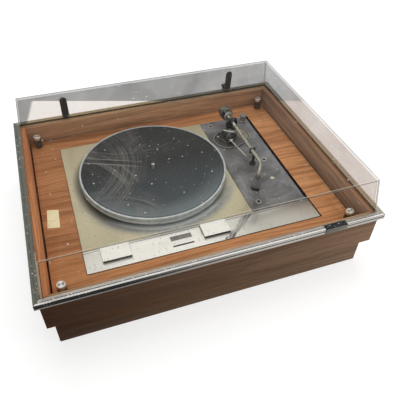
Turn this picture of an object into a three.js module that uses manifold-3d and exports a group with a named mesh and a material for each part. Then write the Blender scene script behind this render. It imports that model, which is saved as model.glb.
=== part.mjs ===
// A belt driven turntable: plinth, sprung motor board, platter, tone arm and hinged dust cover.
// Millimetres, +Z up, +X to the right seen from the front, -Y towards the front.
// The origin is the middle of the whole outline, at the height of the shelf.

import * as THREE from 'three';
import { mergeVertices } from 'three/addons/utils/BufferGeometryUtils.js';
import Module from 'manifold-3d';

const wasm = await Module();
wasm.setup();

// Fits shared by every piece
const seatGap = 0.3;
const runGap = 0.5;
const playGap = 1;
const overrun = 3;

// Facets of round pieces
const wideSides = 64;
const hubSides = 48;
const middleSides = 20;
const smallSides = 12;
const wireSides = 5;
const wireSteps = 8;

// Plinth walls, base and bottom
const wallSetback = 6.5;
const wallThickness = 16.5;
const frontWallThickness = 11;
const wallHeight = 71;
const baseSetback = 11;
const baseThickness = 12;
const baseHeight = 64;
const bottomThickness = 6;
const bottomLift = 6;

// Aluminium rail round the plinth and the black cover over its joint
const railTopWidth = 10.5;
const railHeight = 11;
const railStand = 3;
const grooveWidth = 1.8;
const grooveDepth = 0.8;
const grooveShare = 0.58;
const jointCoverLength = 43.5;
const jointCoverThickness = 0.8;
const jointCoverFromRight = 79;

// Gland for the leads in the back of the base
const glandFromLeft = 130;
const glandBore = 3;
const glandNeckRadius = 6;
const glandFlangeRadius = 9;
const glandFlangeThickness = 3;

// Motor board on its four corner springs
const boardGap = 3;
const boardSideMargin = 59.75;
const boardEndMargin = 42.5;
const boardThickness = 19;
const boardRecess = 44;
const ledgeWidth = 8;
const knobFromSide = 17;
const knobFromEnd = 16;
const boltRadius = 3;
const boltReach = 12;
const knobRadius = 8.2;
const knobBodyHeight = 21;
const knobCapHeight = 6.5;
const knobCapRadius = 7.6;
const knobChamfer = 1.2;
const blockSize = 36;
const springLength = 26;
const springRadius = 7.6;
const springWire = 1;
const springTurns = 4;

// Deck unit let into the motor board
const deckProud = 1;
const deckGap = 1;
const deckThickness = 5;
const plateLeftMargin = 23.5;
const plateRightMargin = 1.5;
const plateFrontMargin = 18.5;
const plateBackMargin = -7;
const wellLap = 19;
const panelDepth = 49.5;
const panelThickness = 2.2;
const panelProud = 0.6;
const armboardWidth = 115.5;
const armboardThickness = 10;
const armboardSideGap = 3;

// Controls on the front panel
const keyWidth = 51.5;
const keyDepth = 33.5;
const keyHeight = 4.2;
const keyBackGap = 1;
const keyStemWidth = 14;
const keyStemDepth = 8;
const keyStemReach = 13;
const powerKeyFromLeft = 29.5;
const speedKeyFromLeft = 215.5;
const powerKeyTravel = 10;
const speedKeyTravel = 16;
const windowWidth = 40;
const windowDepth = 11;
const windowFromLeft = 155;
const windowFromFront = 26.5;
const windowSink = 0.4;
const prismHeight = 14;
const slotWidth = 40;
const slotDepth = 3.4;
const slotFromFront = 12;
const trimWheelRadius = 28;
const trimWheelThickness = 2;
const trimWheelProud = 1.2;
const trimAxleRadius = 2;
const trimAxleReach = 7;
const cheekThickness = 2;
const cheekWidth = 11;

// Platter, mat and sub-platter
const platterRadius = 151;
const platterLift = 4.2;
const platterHeight = 15;
const platterRimWidth = 11;
const platterWebBottom = 7;
const platterWebThickness = 4.5;
const platterLipWidth = 4;
const platterBore = 11;
const matThickness = 4;
const matBore = 5;
const hubPlatterRim = 7;
const hubPlatterHeight = 14.5;
const hubWebThickness = 4;
const hubRadius = 13;
const hubDrop = 9;
const spindleRadius = 3.6;
const spindleHeight = 8.5;
const shaftRadius = 5;
const shaftLength = 38;

// Motor, pulley and belt
const motorAngle = 215;
const pulleyFromWell = 14;
const pulleyFromHub = 10;
const pulleyRadius = 8;
const pulleyHeight = 9;
const pulleyShaftRadius = 2.2;
const pulleyShaftLength = 26;
const beltHeight = 5;
const beltThickness = 0.8;
const beltGap = 0.5;
const beltSegments = 20;
const motorRadius = 28;
const motorHeight = 42;
const motorFlangeRadius = 38;
const motorFlangeThickness = 3;
const motorDrop = 7;
const motorPostRadius = 4;
const motorPostSpread = 18;
const motorPostFromAxis = 28;

// Hidden electrics
const transformerWidth = 52;
const transformerDepth = 60;
const transformerHeight = 44;
const coilInset = 9;
const transformerFromLeft = 12;
const transformerFromBack = 16;
const circuitLength = 92;
const circuitDepth = 50;
const circuitThickness = 1.6;
const circuitDrop = 14;
const circuitPegRadius = 2.5;
const circuitPegInset = 6;
const circuitFromFront = 12;
const circuitFromSpeedKey = 14;

// Suspended chassis that carries the platter bearing and the arm board
const chassisThickness = 3;
const chassisDrop = 21;
const chassisLeftShare = 0.18;
const chassisRightShare = 0.985;
const chassisFrontShare = 0.055;
const chassisBackShare = 0.97;
const chassisNotchShare = 0.38;
const chassisNotchFrontShare = 0.18;
const chassisPostRadius = 6;
const chassisPostInset = 15;
const studRadius = 2.5;
const studHoleRadius = 4.5;
const studNutRadius = 11;
const studNutThickness = 2;
const studPlaceShares = [[0.225, 0.11], [0.96, 0.09], [0.87, 0.93]];
const chassisSpringLength = 25;
const chassisSpringRadius = 8.5;
const bearingRadius = 11;
const bearingFlangeRadius = 17;
const bearingFlangeThickness = 4;
const bearingDepth = 40;

// Arm base
const pivotFromRight = 62;
const pivotFromBack = 62.5;
const bedplateLength = 90;
const bedplateWidth = 66;
const bedplateForward = 13.5;
const bedplateInward = 2.5;
const bedplateThickness = 3;
const bedplateAngle = 20;
const bedSlotLength = 18;
const bedSlotWidth = 5;
const pillarRadius = 9;
const collarRadius = 15;
const collarHeight = 9;
const armHeight = 38;
const yokeDiscRadius = 11.5;
const yokeDiscHeight = 4;
const yokeDrop = 10.5;
const yokeWidth = 24;
const yokeCheekThickness = 3;
const yokeCheekDepth = 11;
const yokeTopHeight = 4.5;
const yokePinRadius = 3;
const yokePinLength = 14;

// Arm rest and cueing lift
const restDistance = 113;
const restPostRadius = 3;
const restFootRadius = 7;
const restFootHeight = 3;
const restWall = 2.2;
const restDepth = 5;
const restSideHeight = 5;
const liftRadius = 29.5;
const liftAngle = 240;
const liftArcStart = 212;
const liftArcEnd = 276;
const liftBarWidth = 4;
const liftBarThickness = 2.5;
const liftTravel = 3;
const liftRodRadius = 2;
const liftHousingRadius = 6.5;
const liftHousingHeight = 16;
const liftBridgeWidth = 10;
const liftBridgeHeight = 7;
const leverRodRadius = 1;
const leverRodLength = 66;
const leverHubRadius = 3;
const leverHubWidth = 6;
const leverPinRadius = 1.2;
const leverEarThickness = 2;
const leverEarReach = 12;
const leverHeight = 9.5;
const leverTipHeight = 2;
const leverTipOffset = 9;

// Tone arm
const tubeRadius = 3.8;
const tubeSteps = 34;
const tubeSides = 12;
const straightShortfall = 3;
const bendRadius = 40;
const bendAngle = 33;
const frontLength = 36;
const tubeTail = 9;
const collarLength = 8;
const headCollarRadius = 5;
const bearingBlockWidth = 14;
const bearingBlockDepth = 13;
const bearingBlockHeight = 11;
const axleRadius = 1.5;
const stubRadius = 3.6;
const stubLength = 56;
const weightRadius = 14.5;
const weightLength = 19;
const weightNeckRadius = 10.5;
const weightNeckLength = 7;
const weightFromPivot = 20;
const weightChamfer = 1.5;
const shellLength = 30;
const shellBackWidth = 14;
const shellFrontWidth = 20;
const shellThickness = 3;
const shellNeckLength = 6;
const shellNeckRadius = 3.2;
const cartridgeLength = 21.5;
const cartridgeWidth = 15;
const cartridgeHeight = 10.5;
const cartridgeNose = 5;
const stylusRadius = 1.1;
const stylusDrop = 2.4;
const stylusFromFront = 5;

// Thumbscrew at the corner of the arm board
const thumbRadius = 8.5;
const thumbHeight = 19;
const thumbCapHeight = 4;
const thumbNeckRadius = 6.5;
const thumbFromRight = 13.5;
const thumbFromBack = 20.5;

// Dust cover and its two hinges
const coverHeight = 71;
const coverThickness = 3.5;
const coverTopInset = 20.5;
const coverBottomInset = 10.8;
const hingeFromSide = 114;
const hingeWidth = 15;
const hingePinRadius = 1.9;
const knuckleRadius = 4.5;
const knuckleWidth = 7;
const hingePinBehindRail = 5.6;
const hingePinAboveRail = 5.2;
const strapHeight = 50;
const strapThickness = 3;
const strapFootHeight = 3;
const bracketThickness = 2.8;
const bracketDrop = 34;

// Sizes worked out from those above
const radians = Math.PI / 180;
const plateWidth = plateLeftMargin + 2 * platterRadius + plateRightMargin;
const plateDepth = plateFrontMargin + 2 * platterRadius + plateBackMargin;
const deckLength = plateWidth + deckGap + armboardWidth + armboardSideGap;
const deckDepth = panelDepth + plateDepth;
const deckLeft = -deckLength / 2;
const deckRight = deckLength / 2;
const deckFront = -deckDepth / 2;
const deckBack = deckDepth / 2;
const plateRight = deckLeft + plateWidth;
const panelBack = deckFront + panelDepth;
const armRight = deckRight - armboardSideGap;
const armLeft = armRight - armboardWidth;

const boardX = deckRight + boardSideMargin;
const boardY = deckBack + boardEndMargin;
const wellX = boardX + boardGap;
const wellY = boardY + boardGap;
const bodyX = wellX + wallThickness;
const bodyY = wellY + wallThickness;
const railX = bodyX + wallSetback;
const railY = bodyY + wallSetback;
const baseX = bodyX - baseSetback;
const baseY = bodyY - baseSetback;
const baseInnerX = baseX - baseThickness;
const baseInnerY = baseY - baseThickness;
const bottomTop = bottomLift + bottomThickness;
const wallBottom = baseHeight + seatGap;
const wallTop = wallBottom + wallHeight;
const railTop = wallTop + railStand;

const boardTop = railTop - boardRecess;
const boardBottom = boardTop - boardThickness;
const knobX = boardX - knobFromSide;
const knobY = boardY - knobFromEnd;
const springBottom = boardBottom - seatGap - springLength;
const blockTop = springBottom - seatGap;
const deckTop = boardTop + deckProud;
const deckBottom = deckTop - deckThickness;
const ledgeTop = deckBottom - seatGap;
const panelTop = deckTop + panelProud;
const panelBottom = panelTop - panelThickness;

const platterX = deckLeft + plateLeftMargin + platterRadius;
const platterY = panelBack + plateFrontMargin + platterRadius;
const platterBottom = deckTop + platterLift;
const platterTop = platterBottom + platterHeight;
const webBottom = platterBottom + platterWebBottom;
const webTop = webBottom + platterWebThickness;
const matBottom = webTop + seatGap;
const matRadius = platterRadius - platterLipWidth - playGap;
const matTop = matBottom + matThickness;
const wellRadius = platterRadius - wellLap;
const hubTop = webBottom - seatGap;
const hubBottom = hubTop - hubPlatterHeight;
const pulleyDistance = wellRadius - pulleyFromWell;
const hubPlatterRadius = pulleyDistance - pulleyRadius - pulleyFromHub;
const pulleyX = platterX + pulleyDistance * Math.cos(motorAngle * radians);
const pulleyY = platterY + pulleyDistance * Math.sin(motorAngle * radians);
const beltBottom = hubBottom + (hubPlatterHeight - beltHeight) / 4;
const pulleyBottom = beltBottom + beltHeight / 2 - pulleyHeight / 2;
const motorTop = deckBottom - seatGap - motorDrop;
const chassisTop = deckBottom - chassisDrop;
const chassisBottom = chassisTop - chassisThickness;
const chassisSpringBottom = chassisBottom - seatGap - chassisSpringLength;

const pivotX = armRight - pivotFromRight;
const pivotY = deckBack - pivotFromBack;
const pivotZ = deckTop + armHeight;
const bedTop = deckTop + seatGap + bedplateThickness;
const pillarBottom = bedTop + seatGap;
const yokeBottom = pivotZ - yokeDrop - yokeDiscHeight;
const pillarTop = yokeBottom - seatGap;
const straightLength = platterRadius - straightShortfall;
const tubeLength = tubeTail + straightLength + bendRadius * bendAngle * radians + frontLength;
const bandRadius = tubeRadius + runGap;
const liftTop = pivotZ - tubeRadius - liftTravel - runGap;

const coverBottom = wallTop + seatGap;
const coverTop = railTop + coverHeight;
const hingeY = railY + hingePinBehindRail;
const hingeZ = railTop + hingePinAboveRail;
const frontReach = railY + seatGap + jointCoverThickness;
const backReach = hingeY + knuckleRadius;

const corners = [[-1, -1, 'front_left'], [1, -1, 'front_right'], [-1, 1, 'back_left'], [1, 1, 'back_right']];
const sides = [[-1, 'left'], [1, 'right']];

// Colours and finishes read from the photograph
const finish = (color, roughness, metalness) => ({ color, roughness, metalness });
const wallVeneer = finish(0x7a5236, 0.5, 0);
const baseVeneer = finish(0x6a4a38, 0.5, 0);
const boardVeneer = finish(0xa86f42, 0.45, 0);
const chipboard = finish(0x9a8366, 0.9, 0);
const railMetal = finish(0xb8b8b2, 0.3, 0.9);
const champagne = finish(0xaea586, 0.4, 0.5);
const silver = finish(0xdedbd0, 0.3, 0.8);
const texturedGrey = finish(0x606466, 0.75, 0.1);
const castMetal = finish(0xb0afa8, 0.35, 0.9);
const blackRubber = finish(0x2b2d30, 0.85, 0);
const blackPlastic = finish(0x1c1d1e, 0.45, 0);
const blackMetal = finish(0x26272a, 0.4, 0.4);
const greySteel = finish(0x8b8d8e, 0.4, 0.85);
const chrome = finish(0xd8d8d6, 0.12, 1);
const tubeMetal = finish(0xb4b09c, 0.25, 0.9);
const smokyGlass = finish(0xd4d6d2, 0.1, 0);
const windowGrey = finish(0x8b8b88, 0.2, 0);
const circuitGreen = finish(0x3c5a3c, 0.6, 0);
const copper = finish(0x8a6a4a, 0.5, 0.4);

// Closed bodies from three.js shapes

function stripped(geometry) {
  geometry.deleteAttribute('normal');
  geometry.deleteAttribute('uv');
  const merged = mergeVertices(geometry);
  const source = merged.index.array;
  const kept = [];
  for (let i = 0; i < source.length; i += 3) {
    const [a, b, c] = [source[i], source[i + 1], source[i + 2]];
    if (a !== b && b !== c && a !== c) kept.push(a, b, c);
  }
  merged.setIndex(kept);
  return merged;
}

function outward(geometry) {
  const body = stripped(geometry);
  const at = body.attributes.position;
  const index = body.index.array;
  const [a, b, c] = [new THREE.Vector3(), new THREE.Vector3(), new THREE.Vector3()];
  let volume = 0;
  for (let i = 0; i < index.length; i += 3) {
    a.fromBufferAttribute(at, index[i]);
    b.fromBufferAttribute(at, index[i + 1]);
    c.fromBufferAttribute(at, index[i + 2]);
    volume += a.dot(b.cross(c));
  }
  if (volume < 0) body.setIndex(Array.from(index).reverse());
  return body;
}

function toSolid(geometry) {
  const body = outward(geometry.clone());
  return new wasm.Manifold(new wasm.Mesh({
    numProp: 3,
    vertProperties: Float32Array.from(body.attributes.position.array),
    triVerts: Uint32Array.from(body.index.array),
  }));
}

function fromSolid(solid) {
  const mesh = solid.getMesh();
  const geometry = new THREE.BufferGeometry();
  geometry.setAttribute('position', new THREE.BufferAttribute(Float32Array.from(mesh.vertProperties), 3));
  geometry.setIndex(Array.from(mesh.triVerts));
  return geometry;
}

function join(first, ...others) {
  return fromSolid(others.reduce((solid, other) => solid.add(toSolid(other)), toSolid(first)));
}

function cut(first, ...tools) {
  return fromSolid(tools.reduce((solid, tool) => solid.subtract(toSolid(tool)), toSolid(first)));
}

function box(x0, x1, y0, y1, z0, z1) {
  const geometry = new THREE.BoxGeometry(x1 - x0, y1 - y0, z1 - z0);
  return geometry.translate((x0 + x1) / 2, (y0 + y1) / 2, (z0 + z1) / 2);
}

function rod(radius, from, to, facets = smallSides) {
  const start = new THREE.Vector3(...from);
  const span = new THREE.Vector3(...to).sub(start);
  const geometry = new THREE.CylinderGeometry(radius, radius, span.length(), facets);
  const upright = new THREE.Vector3(0, 1, 0);
  const turn = new THREE.Quaternion().setFromUnitVectors(upright, span.clone().normalize());
  return geometry.applyQuaternion(turn).translate(...start.addScaledVector(span, 0.5).toArray());
}

function turned(profile, facets) {
  const points = profile.map(([radius, height]) => new THREE.Vector2(radius, height));
  return new THREE.LatheGeometry(points, facets).rotateX(Math.PI / 2);
}

function outline(points) {
  return new THREE.Shape(points.map(([x, y]) => new THREE.Vector2(x, y)));
}

function slab(shape, z0, z1, curveSegments = smallSides) {
  const options = { depth: z1 - z0, bevelEnabled: false, curveSegments };
  return new THREE.ExtrudeGeometry(shape, options).translate(0, 0, z0);
}

function ring(radius, facets) {
  const points = Array.from({ length: facets }, (_, i) => 2 * Math.PI * i / facets);
  return outline(points.map((angle) => [radius * Math.cos(angle), radius * Math.sin(angle)]));
}

// A side profile of [y, z] points, as wide as width and centred on X at middle
function sideSlab(points, middle, width) {
  const geometry = new THREE.ExtrudeGeometry(outline(points), { depth: width, bevelEnabled: false });
  return geometry.rotateX(Math.PI / 2).rotateZ(Math.PI / 2).translate(middle - width / 2, 0, 0);
}

// A profile of [inset, height] points carried round a rectangle, with mitred corners
function rectangleSweep(profile, halfX, halfY, ring) {
  const positions = [];
  const index = [];
  const around = [[-1, -1], [1, -1], [1, 1], [-1, 1]];
  for (const [inset, height] of profile) {
    for (const [sx, sy] of around) positions.push(sx * (halfX - inset), sy * (halfY - inset), height);
  }
  const count = profile.length;
  for (let i = 0; i < (ring ? count : count - 1); i += 1) {
    const next = (i + 1) % count;
    for (let c = 0; c < 4; c += 1) {
      const d = (c + 1) % 4;
      index.push(4 * i + c, 4 * i + d, 4 * next + d, 4 * i + c, 4 * next + d, 4 * next + c);
    }
  }
  if (!ring) {
    const last = 4 * (count - 1);
    index.push(3, 2, 1, 3, 1, 0, last, last + 1, last + 2, last, last + 2, last + 3);
  }
  const geometry = new THREE.BufferGeometry();
  geometry.setAttribute('position', new THREE.Float32BufferAttribute(positions, 3));
  geometry.setIndex(index);
  return geometry;
}

class Helix extends THREE.Curve {
  constructor(radius, height, turns) {
    super();
    Object.assign(this, { radius, height, turns });
  }

  getPoint(t, target = new THREE.Vector3()) {
    const angle = 2 * Math.PI * this.turns * t;
    return target.set(this.radius * Math.cos(angle), this.radius * Math.sin(angle), this.height * t);
  }
}

// A coil spring whose wire stays inside the height between its two seats
function coilSpring(radius, wire, height, turns) {
  const path = new Helix(radius, height - 2 * wire, turns);
  const options = { steps: wireSteps * turns, extrudePath: path, bevelEnabled: false };
  return new THREE.ExtrudeGeometry(ring(wire, wireSides), options).translate(0, 0, wire);
}

// The tone arm's line in its own frame: straight towards -Y, then bent inwards
class ArmLine extends THREE.Curve {
  getPoint(t, target = new THREE.Vector3()) {
    const run = t * tubeLength - tubeTail;
    if (run <= straightLength) return target.set(0, -run, 0);
    const bend = Math.min((run - straightLength) / bendRadius, bendAngle * radians);
    const rest = run - straightLength - bend * bendRadius;
    const x = -bendRadius * (1 - Math.cos(bend)) - rest * Math.sin(bend);
    const y = -straightLength - bendRadius * Math.sin(bend) - rest * Math.cos(bend);
    return target.set(x, y, 0);
  }
}

const turntable = new THREE.Group();
turntable.position.y = (frontReach - backReach) / 2;

function place(name, geometry, look, holder = turntable) {
  const mesh = new THREE.Mesh(outward(geometry), new THREE.MeshStandardMaterial(look));
  mesh.name = name;
  holder.add(mesh);
  return mesh;
}

function groupAt(x, y, z, holder = turntable) {
  const group = new THREE.Group();
  group.position.set(x, y, z);
  holder.add(group);
  return group;
}

// Plinth

function mitredWalls() {
  const g = seatGap;
  const inner = -bodyY + frontWallThickness;
  const front = [[-bodyX + g, -bodyY], [bodyX - g, -bodyY], [wellX - g, inner], [-wellX + g, inner]];
  const back = [[-bodyX + g, bodyY], [bodyX - g, bodyY], [wellX - g, wellY], [-wellX + g, wellY]];
  const left = [[-bodyX, -bodyY + g], [-wellX, inner + g], [-wellX, wellY - g], [-bodyX, bodyY - g]];
  const right = left.map(([x, y]) => [-x, y]);
  const boards = { front_wall: front, back_wall: back, left_wall: left, right_wall: right };
  for (const [name, points] of Object.entries(boards)) {
    place(name, slab(outline(points), wallBottom, wallTop), wallVeneer);
  }
}

function base() {
  const profile = [[0, 0], [0, baseHeight], [baseThickness, baseHeight], [baseThickness, 0]];
  const frame = rectangleSweep(profile, baseX, baseY, true);
  const glandX = -railX + glandFromLeft;
  const glandZ = baseHeight / 2;
  const hole = rod(glandNeckRadius + seatGap, [glandX, baseInnerY - overrun, glandZ],
    [glandX, baseY + overrun, glandZ], middleSides);
  place('base_frame', cut(frame, hole), baseVeneer);
  const panelX = baseInnerX - seatGap;
  const panelY = baseInnerY - seatGap;
  place('bottom_panel', box(-panelX, panelX, -panelY, panelY, bottomLift, bottomTop), chipboard);

  const outer = glandFlangeThickness + seatGap;
  const gland = turned([
    [glandBore, -baseThickness], [glandNeckRadius, -baseThickness], [glandNeckRadius, seatGap],
    [glandFlangeRadius, seatGap], [glandFlangeRadius - seatGap, outer], [glandBore, outer],
    [glandBore, -baseThickness],
  ], middleSides);
  const mesh = place('lead_gland', gland, blackRubber);
  mesh.position.set(glandX, baseY, glandZ);
  mesh.rotation.x = -Math.PI / 2;
}

function cornerBlocks() {
  for (const [sx, sy, corner] of corners) {
    const outerX = baseInnerX - seatGap;
    const outerY = baseInnerY - seatGap;
    const block = box(outerX - blockSize, outerX, outerY - blockSize, outerY, bottomTop + seatGap, blockTop);
    const holeTop = blockTop + overrun;
    const hole = rod(boltRadius + playGap, [knobX, knobY, 0], [knobX, knobY, holeTop], middleSides);
    place(`corner_block_${corner}`, cut(block, hole).scale(sx, sy, 1), chipboard);
  }
}

function railProfile() {
  const lip = railStand - seatGap;
  const low = railTop - railHeight + grooveShare * railHeight - grooveWidth / 2;
  const high = low + grooveWidth;
  const flute = railTopWidth / 2;
  return [
    [0, railTop - railHeight], [0, low], [grooveDepth, low], [grooveDepth, high], [0, high], [0, railTop],
    [flute - grooveWidth / 2, railTop], [flute, railTop - grooveDepth], [flute + grooveWidth / 2, railTop],
    [railTopWidth, railTop], [railTopWidth, railTop - lip],
    [wallSetback - seatGap, railTop - lip], [wallSetback - seatGap, railTop - railHeight],
  ];
}

function edgeRail() {
  place('edge_rail', rectangleSweep(railProfile(), railX, railY, true), railMetal);
  const outer = -railY - seatGap;
  const top = railTop + seatGap;
  const low = railTop - railHeight;
  const inner = -railY + railTopWidth - seatGap;
  const sleeve = sideSlab([
    [outer - jointCoverThickness, low], [outer, low], [outer, top], [inner, top],
    [inner, top + jointCoverThickness], [outer - jointCoverThickness, top + jointCoverThickness],
  ], railX - jointCoverFromRight - jointCoverLength / 2, jointCoverLength);
  place('rail_joint_cover', sleeve, blackPlastic);
}

// Motor board, its corner springs and levelling knobs

function motorBoard() {
  const slabBody = box(-boardX, boardX, -boardY, boardY, boardBottom, boardTop);
  const left = deckLeft - deckGap;
  const right = deckRight + deckGap + armboardSideGap;
  const front = deckFront - deckGap;
  const back = deckBack + deckGap;
  const upper = box(left, right, front, back, ledgeTop, boardTop + overrun);
  const lower = box(left + ledgeWidth, right - ledgeWidth, front + ledgeWidth, back - ledgeWidth,
    boardBottom - overrun, boardTop);
  const armSpace = box(armLeft - deckGap, right, panelBack, back, boardBottom - overrun, boardTop);
  const holes = corners.map(([sx, sy]) => rod(boltRadius + playGap,
    [sx * knobX, sy * knobY, boardBottom - overrun], [sx * knobX, sy * knobY, boardTop + overrun]));
  place('motor_board', cut(slabBody, upper, lower, armSpace, ...holes), boardVeneer);
}

function levelKnobs() {
  const seat = boardTop + seatGap;
  const capBottom = seat + knobBodyHeight;
  const capTop = capBottom + knobCapHeight;
  const boltBottom = blockTop - boltReach;
  const profile = [
    [0, boltBottom], [boltRadius, boltBottom], [boltRadius, seat], [knobRadius, seat],
    [knobRadius, capBottom - knobChamfer], [knobRadius - knobChamfer, capBottom], [knobCapRadius, capBottom],
    [knobCapRadius, capTop - knobChamfer], [knobCapRadius - knobChamfer, capTop], [0, capTop],
  ];
  for (const [sx, sy, corner] of corners) {
    const holder = groupAt(sx * knobX, sy * knobY, 0);
    place(`level_knob_${corner}`, turned(profile, middleSides), chrome, holder);
    const spring = coilSpring(springRadius, springWire, springLength, springTurns);
    place(`suspension_spring_${corner}`, spring, greySteel, holder).position.z = springBottom;
  }
}

// Deck unit

const powerKeyX = deckLeft + powerKeyFromLeft + keyWidth / 2;
const speedKeyX = deckLeft + speedKeyFromLeft + keyWidth / 2;
const keyMiddleY = panelBack - keyBackGap - keyDepth / 2;
const windowX = deckLeft + windowFromLeft + windowWidth / 2;
const windowY = deckFront + windowFromFront + windowDepth / 2;
const slotY = deckFront + slotFromFront + slotDepth / 2;
const trimWheelZ = panelTop + trimWheelProud - trimWheelRadius;

// Straight slots for the stems of the two keys, the window and the trim wheel
function controlCuts(spare, z0, z1) {
  const stemY = keyStemDepth / 2 + playGap + spare;
  const powerX = powerKeyX + powerKeyTravel / 2;
  const powerHalf = (keyStemWidth + powerKeyTravel) / 2 + playGap + spare;
  const speedHalf = (keyStemWidth + speedKeyTravel) / 2 + playGap + spare;
  const windowHalf = windowWidth / 2 + spare;
  const slotHalf = slotWidth / 2 + spare;
  return [
    box(powerX - powerHalf, powerX + powerHalf, keyMiddleY - stemY, keyMiddleY + stemY, z0, z1),
    box(speedKeyX - speedHalf, speedKeyX + speedHalf, keyMiddleY - stemY, keyMiddleY + stemY, z0, z1),
    box(windowX - windowHalf, windowX + windowHalf, windowY - windowDepth / 2 - spare,
      windowY + windowDepth / 2 + spare, z0, z1),
    box(windowX - slotHalf, windowX + slotHalf,
      slotY - slotDepth / 2 - spare, slotY + slotDepth / 2 + spare, z0, z1),
  ];
}

function studPlaces() {
  return studPlaceShares.map(([sx, sy]) => [deckLeft + sx * plateWidth, panelBack + sy * plateDepth]);
}

function deckPlate() {
  const low = panelBottom - seatGap;
  const strip = box(deckLeft, deckRight, deckFront, panelBack, deckBottom, low);
  const plate = box(deckLeft, plateRight, panelBack, deckBack, deckBottom, deckTop);
  const lap = box(deckLeft, plateRight, panelBack - overrun, panelBack + overrun, deckBottom, low);
  const well = rod(wellRadius, [platterX, platterY, deckBottom - overrun],
    [platterX, platterY, deckTop + overrun], wideSides);
  const openings = controlCuts(playGap, deckBottom - overrun, deckTop);
  const studs = studPlaces().flatMap(([x, y]) => {
    const end = chassisSpringBottom - seatGap - studNutThickness;
    return [
      rod(studRadius, [x, y, end], [x, y, deckBottom + deckThickness / 2]),
      rod(studNutRadius, [x, y, end], [x, y, end + studNutThickness], middleSides),
    ];
  });
  const cheekSpan = slotDepth / 2 + playGap;
  const cheekLow = trimWheelZ - cheekWidth / 2;
  const cheeks = [-1, 1].map((side) => {
    const near = slotY + side * cheekSpan;
    const far = near + side * cheekThickness;
    const body = box(windowX - cheekWidth / 2, windowX + cheekWidth / 2, Math.min(near, far),
      Math.max(near, far), cheekLow, deckBottom + panelThickness / 2);
    const hole = rod(trimAxleRadius + runGap, [windowX, near - overrun, trimWheelZ],
      [windowX, far + overrun, trimWheelZ]);
    return cut(body, side > 0 ? hole : rod(trimAxleRadius + runGap, [windowX, far - overrun, trimWheelZ],
      [windowX, near + overrun, trimWheelZ]));
  });
  const opened = cut(join(strip, plate, lap), well, ...openings);
  place('deck_plate', join(opened, ...studs, ...cheeks), champagne);
}

function controlPanel() {
  const panel = box(deckLeft, deckRight, deckFront, panelBack - seatGap, panelBottom, panelTop);
  place('control_panel', cut(panel, ...controlCuts(0, panelBottom - overrun, panelTop + overrun)), silver);
  const halfX = windowWidth / 2 - seatGap;
  const halfY = windowDepth / 2 - seatGap;
  const top = panelTop - windowSink;
  place('strobe_window', box(windowX - halfX, windowX + halfX, windowY - halfY, windowY + halfY,
    top - prismHeight, top), windowGrey);
}

function slidingKey(name, x) {
  const seat = panelTop + seatGap;
  const cap = box(x - keyWidth / 2, x + keyWidth / 2, keyMiddleY - keyDepth / 2, keyMiddleY + keyDepth / 2,
    seat, seat + keyHeight);
  const stem = box(x - keyStemWidth / 2, x + keyStemWidth / 2, keyMiddleY - keyStemDepth / 2,
    keyMiddleY + keyStemDepth / 2, seat - keyStemReach, seat + keyHeight / 2);
  place(name, join(cap, stem), silver);
}

function trimWheel() {
  const half = trimWheelThickness / 2;
  const wheel = turned([
    [0, -trimAxleReach / 2], [trimAxleRadius, -trimAxleReach / 2], [trimAxleRadius, -half],
    [trimWheelRadius, -half],
    [trimWheelRadius, half], [trimAxleRadius, half], [trimAxleRadius, trimAxleReach / 2],
    [0, trimAxleReach / 2],
  ], middleSides);
  const mesh = place('trim_wheel', wheel, blackPlastic);
  mesh.position.set(windowX, slotY, trimWheelZ);
  mesh.rotation.x = Math.PI / 2;
}

// Electrics under the deck

function driveMotor() {
  const holder = groupAt(pulleyX, pulleyY, 0);
  const can = turned([
    [0, motorTop - motorHeight], [motorRadius, motorTop - motorHeight],
    [motorRadius, motorTop - motorFlangeThickness],
    [motorFlangeRadius, motorTop - motorFlangeThickness], [motorFlangeRadius, motorTop],
    [pulleyShaftRadius + runGap, motorTop], [pulleyShaftRadius + runGap, motorTop - pulleyShaftLength],
    [0, motorTop - pulleyShaftLength],
  ], middleSides);
  const outX = Math.cos(motorAngle * radians);
  const outY = Math.sin(motorAngle * radians);
  const posts = [-1, 1].map((side) => {
    const x = motorPostFromAxis * outX - side * motorPostSpread * outY;
    const y = motorPostFromAxis * outY + side * motorPostSpread * outX;
    return rod(motorPostRadius, [x, y, motorTop - motorFlangeThickness / 2], [x, y, deckBottom - seatGap]);
  });
  place('drive_motor', join(can, ...posts), blackMetal, holder);

  const shaftEnd = pulleyBottom - pulleyShaftLength + overrun;
  place('motor_pulley', turned([
    [0, shaftEnd], [pulleyShaftRadius, shaftEnd], [pulleyShaftRadius, pulleyBottom],
    [pulleyRadius, pulleyBottom], [pulleyRadius, pulleyBottom + pulleyHeight],
    [0, pulleyBottom + pulleyHeight],
  ], middleSides), castMetal, holder);
}

function transformer() {
  const x0 = deckLeft + transformerFromLeft;
  const y1 = deckBack - transformerFromBack;
  const y0 = y1 - transformerDepth;
  const z1 = deckBottom - seatGap;
  const core = box(x0 + coilInset, x0 + transformerWidth - coilInset, y0, y1, z1 - transformerHeight, z1);
  const coil = box(x0, x0 + transformerWidth, y0 + coilInset, y1 - coilInset,
    z1 - transformerHeight + coilInset, z1 - coilInset);
  place('transformer', join(core, coil), copper);
}

function circuitBoard() {
  const x0 = speedKeyX - circuitFromSpeedKey;
  const y0 = deckFront + circuitFromFront;
  const top = deckBottom - circuitDrop;
  const board = box(x0, x0 + circuitLength, y0, y0 + circuitDepth, top - circuitThickness, top);
  const pegs = [0, 1].flatMap((i) => [0, 1].map((j) => {
    const x = x0 + circuitPegInset + i * (circuitLength - 2 * circuitPegInset);
    const y = y0 + circuitPegInset + j * (circuitDepth - 2 * circuitPegInset);
    return rod(circuitPegRadius, [x, y, top - circuitThickness / 2], [x, y, deckBottom - seatGap]);
  }));
  place('circuit_board', join(board, ...pegs), circuitGreen);
}

// Suspended chassis with bearing, arm board and belt

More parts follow.
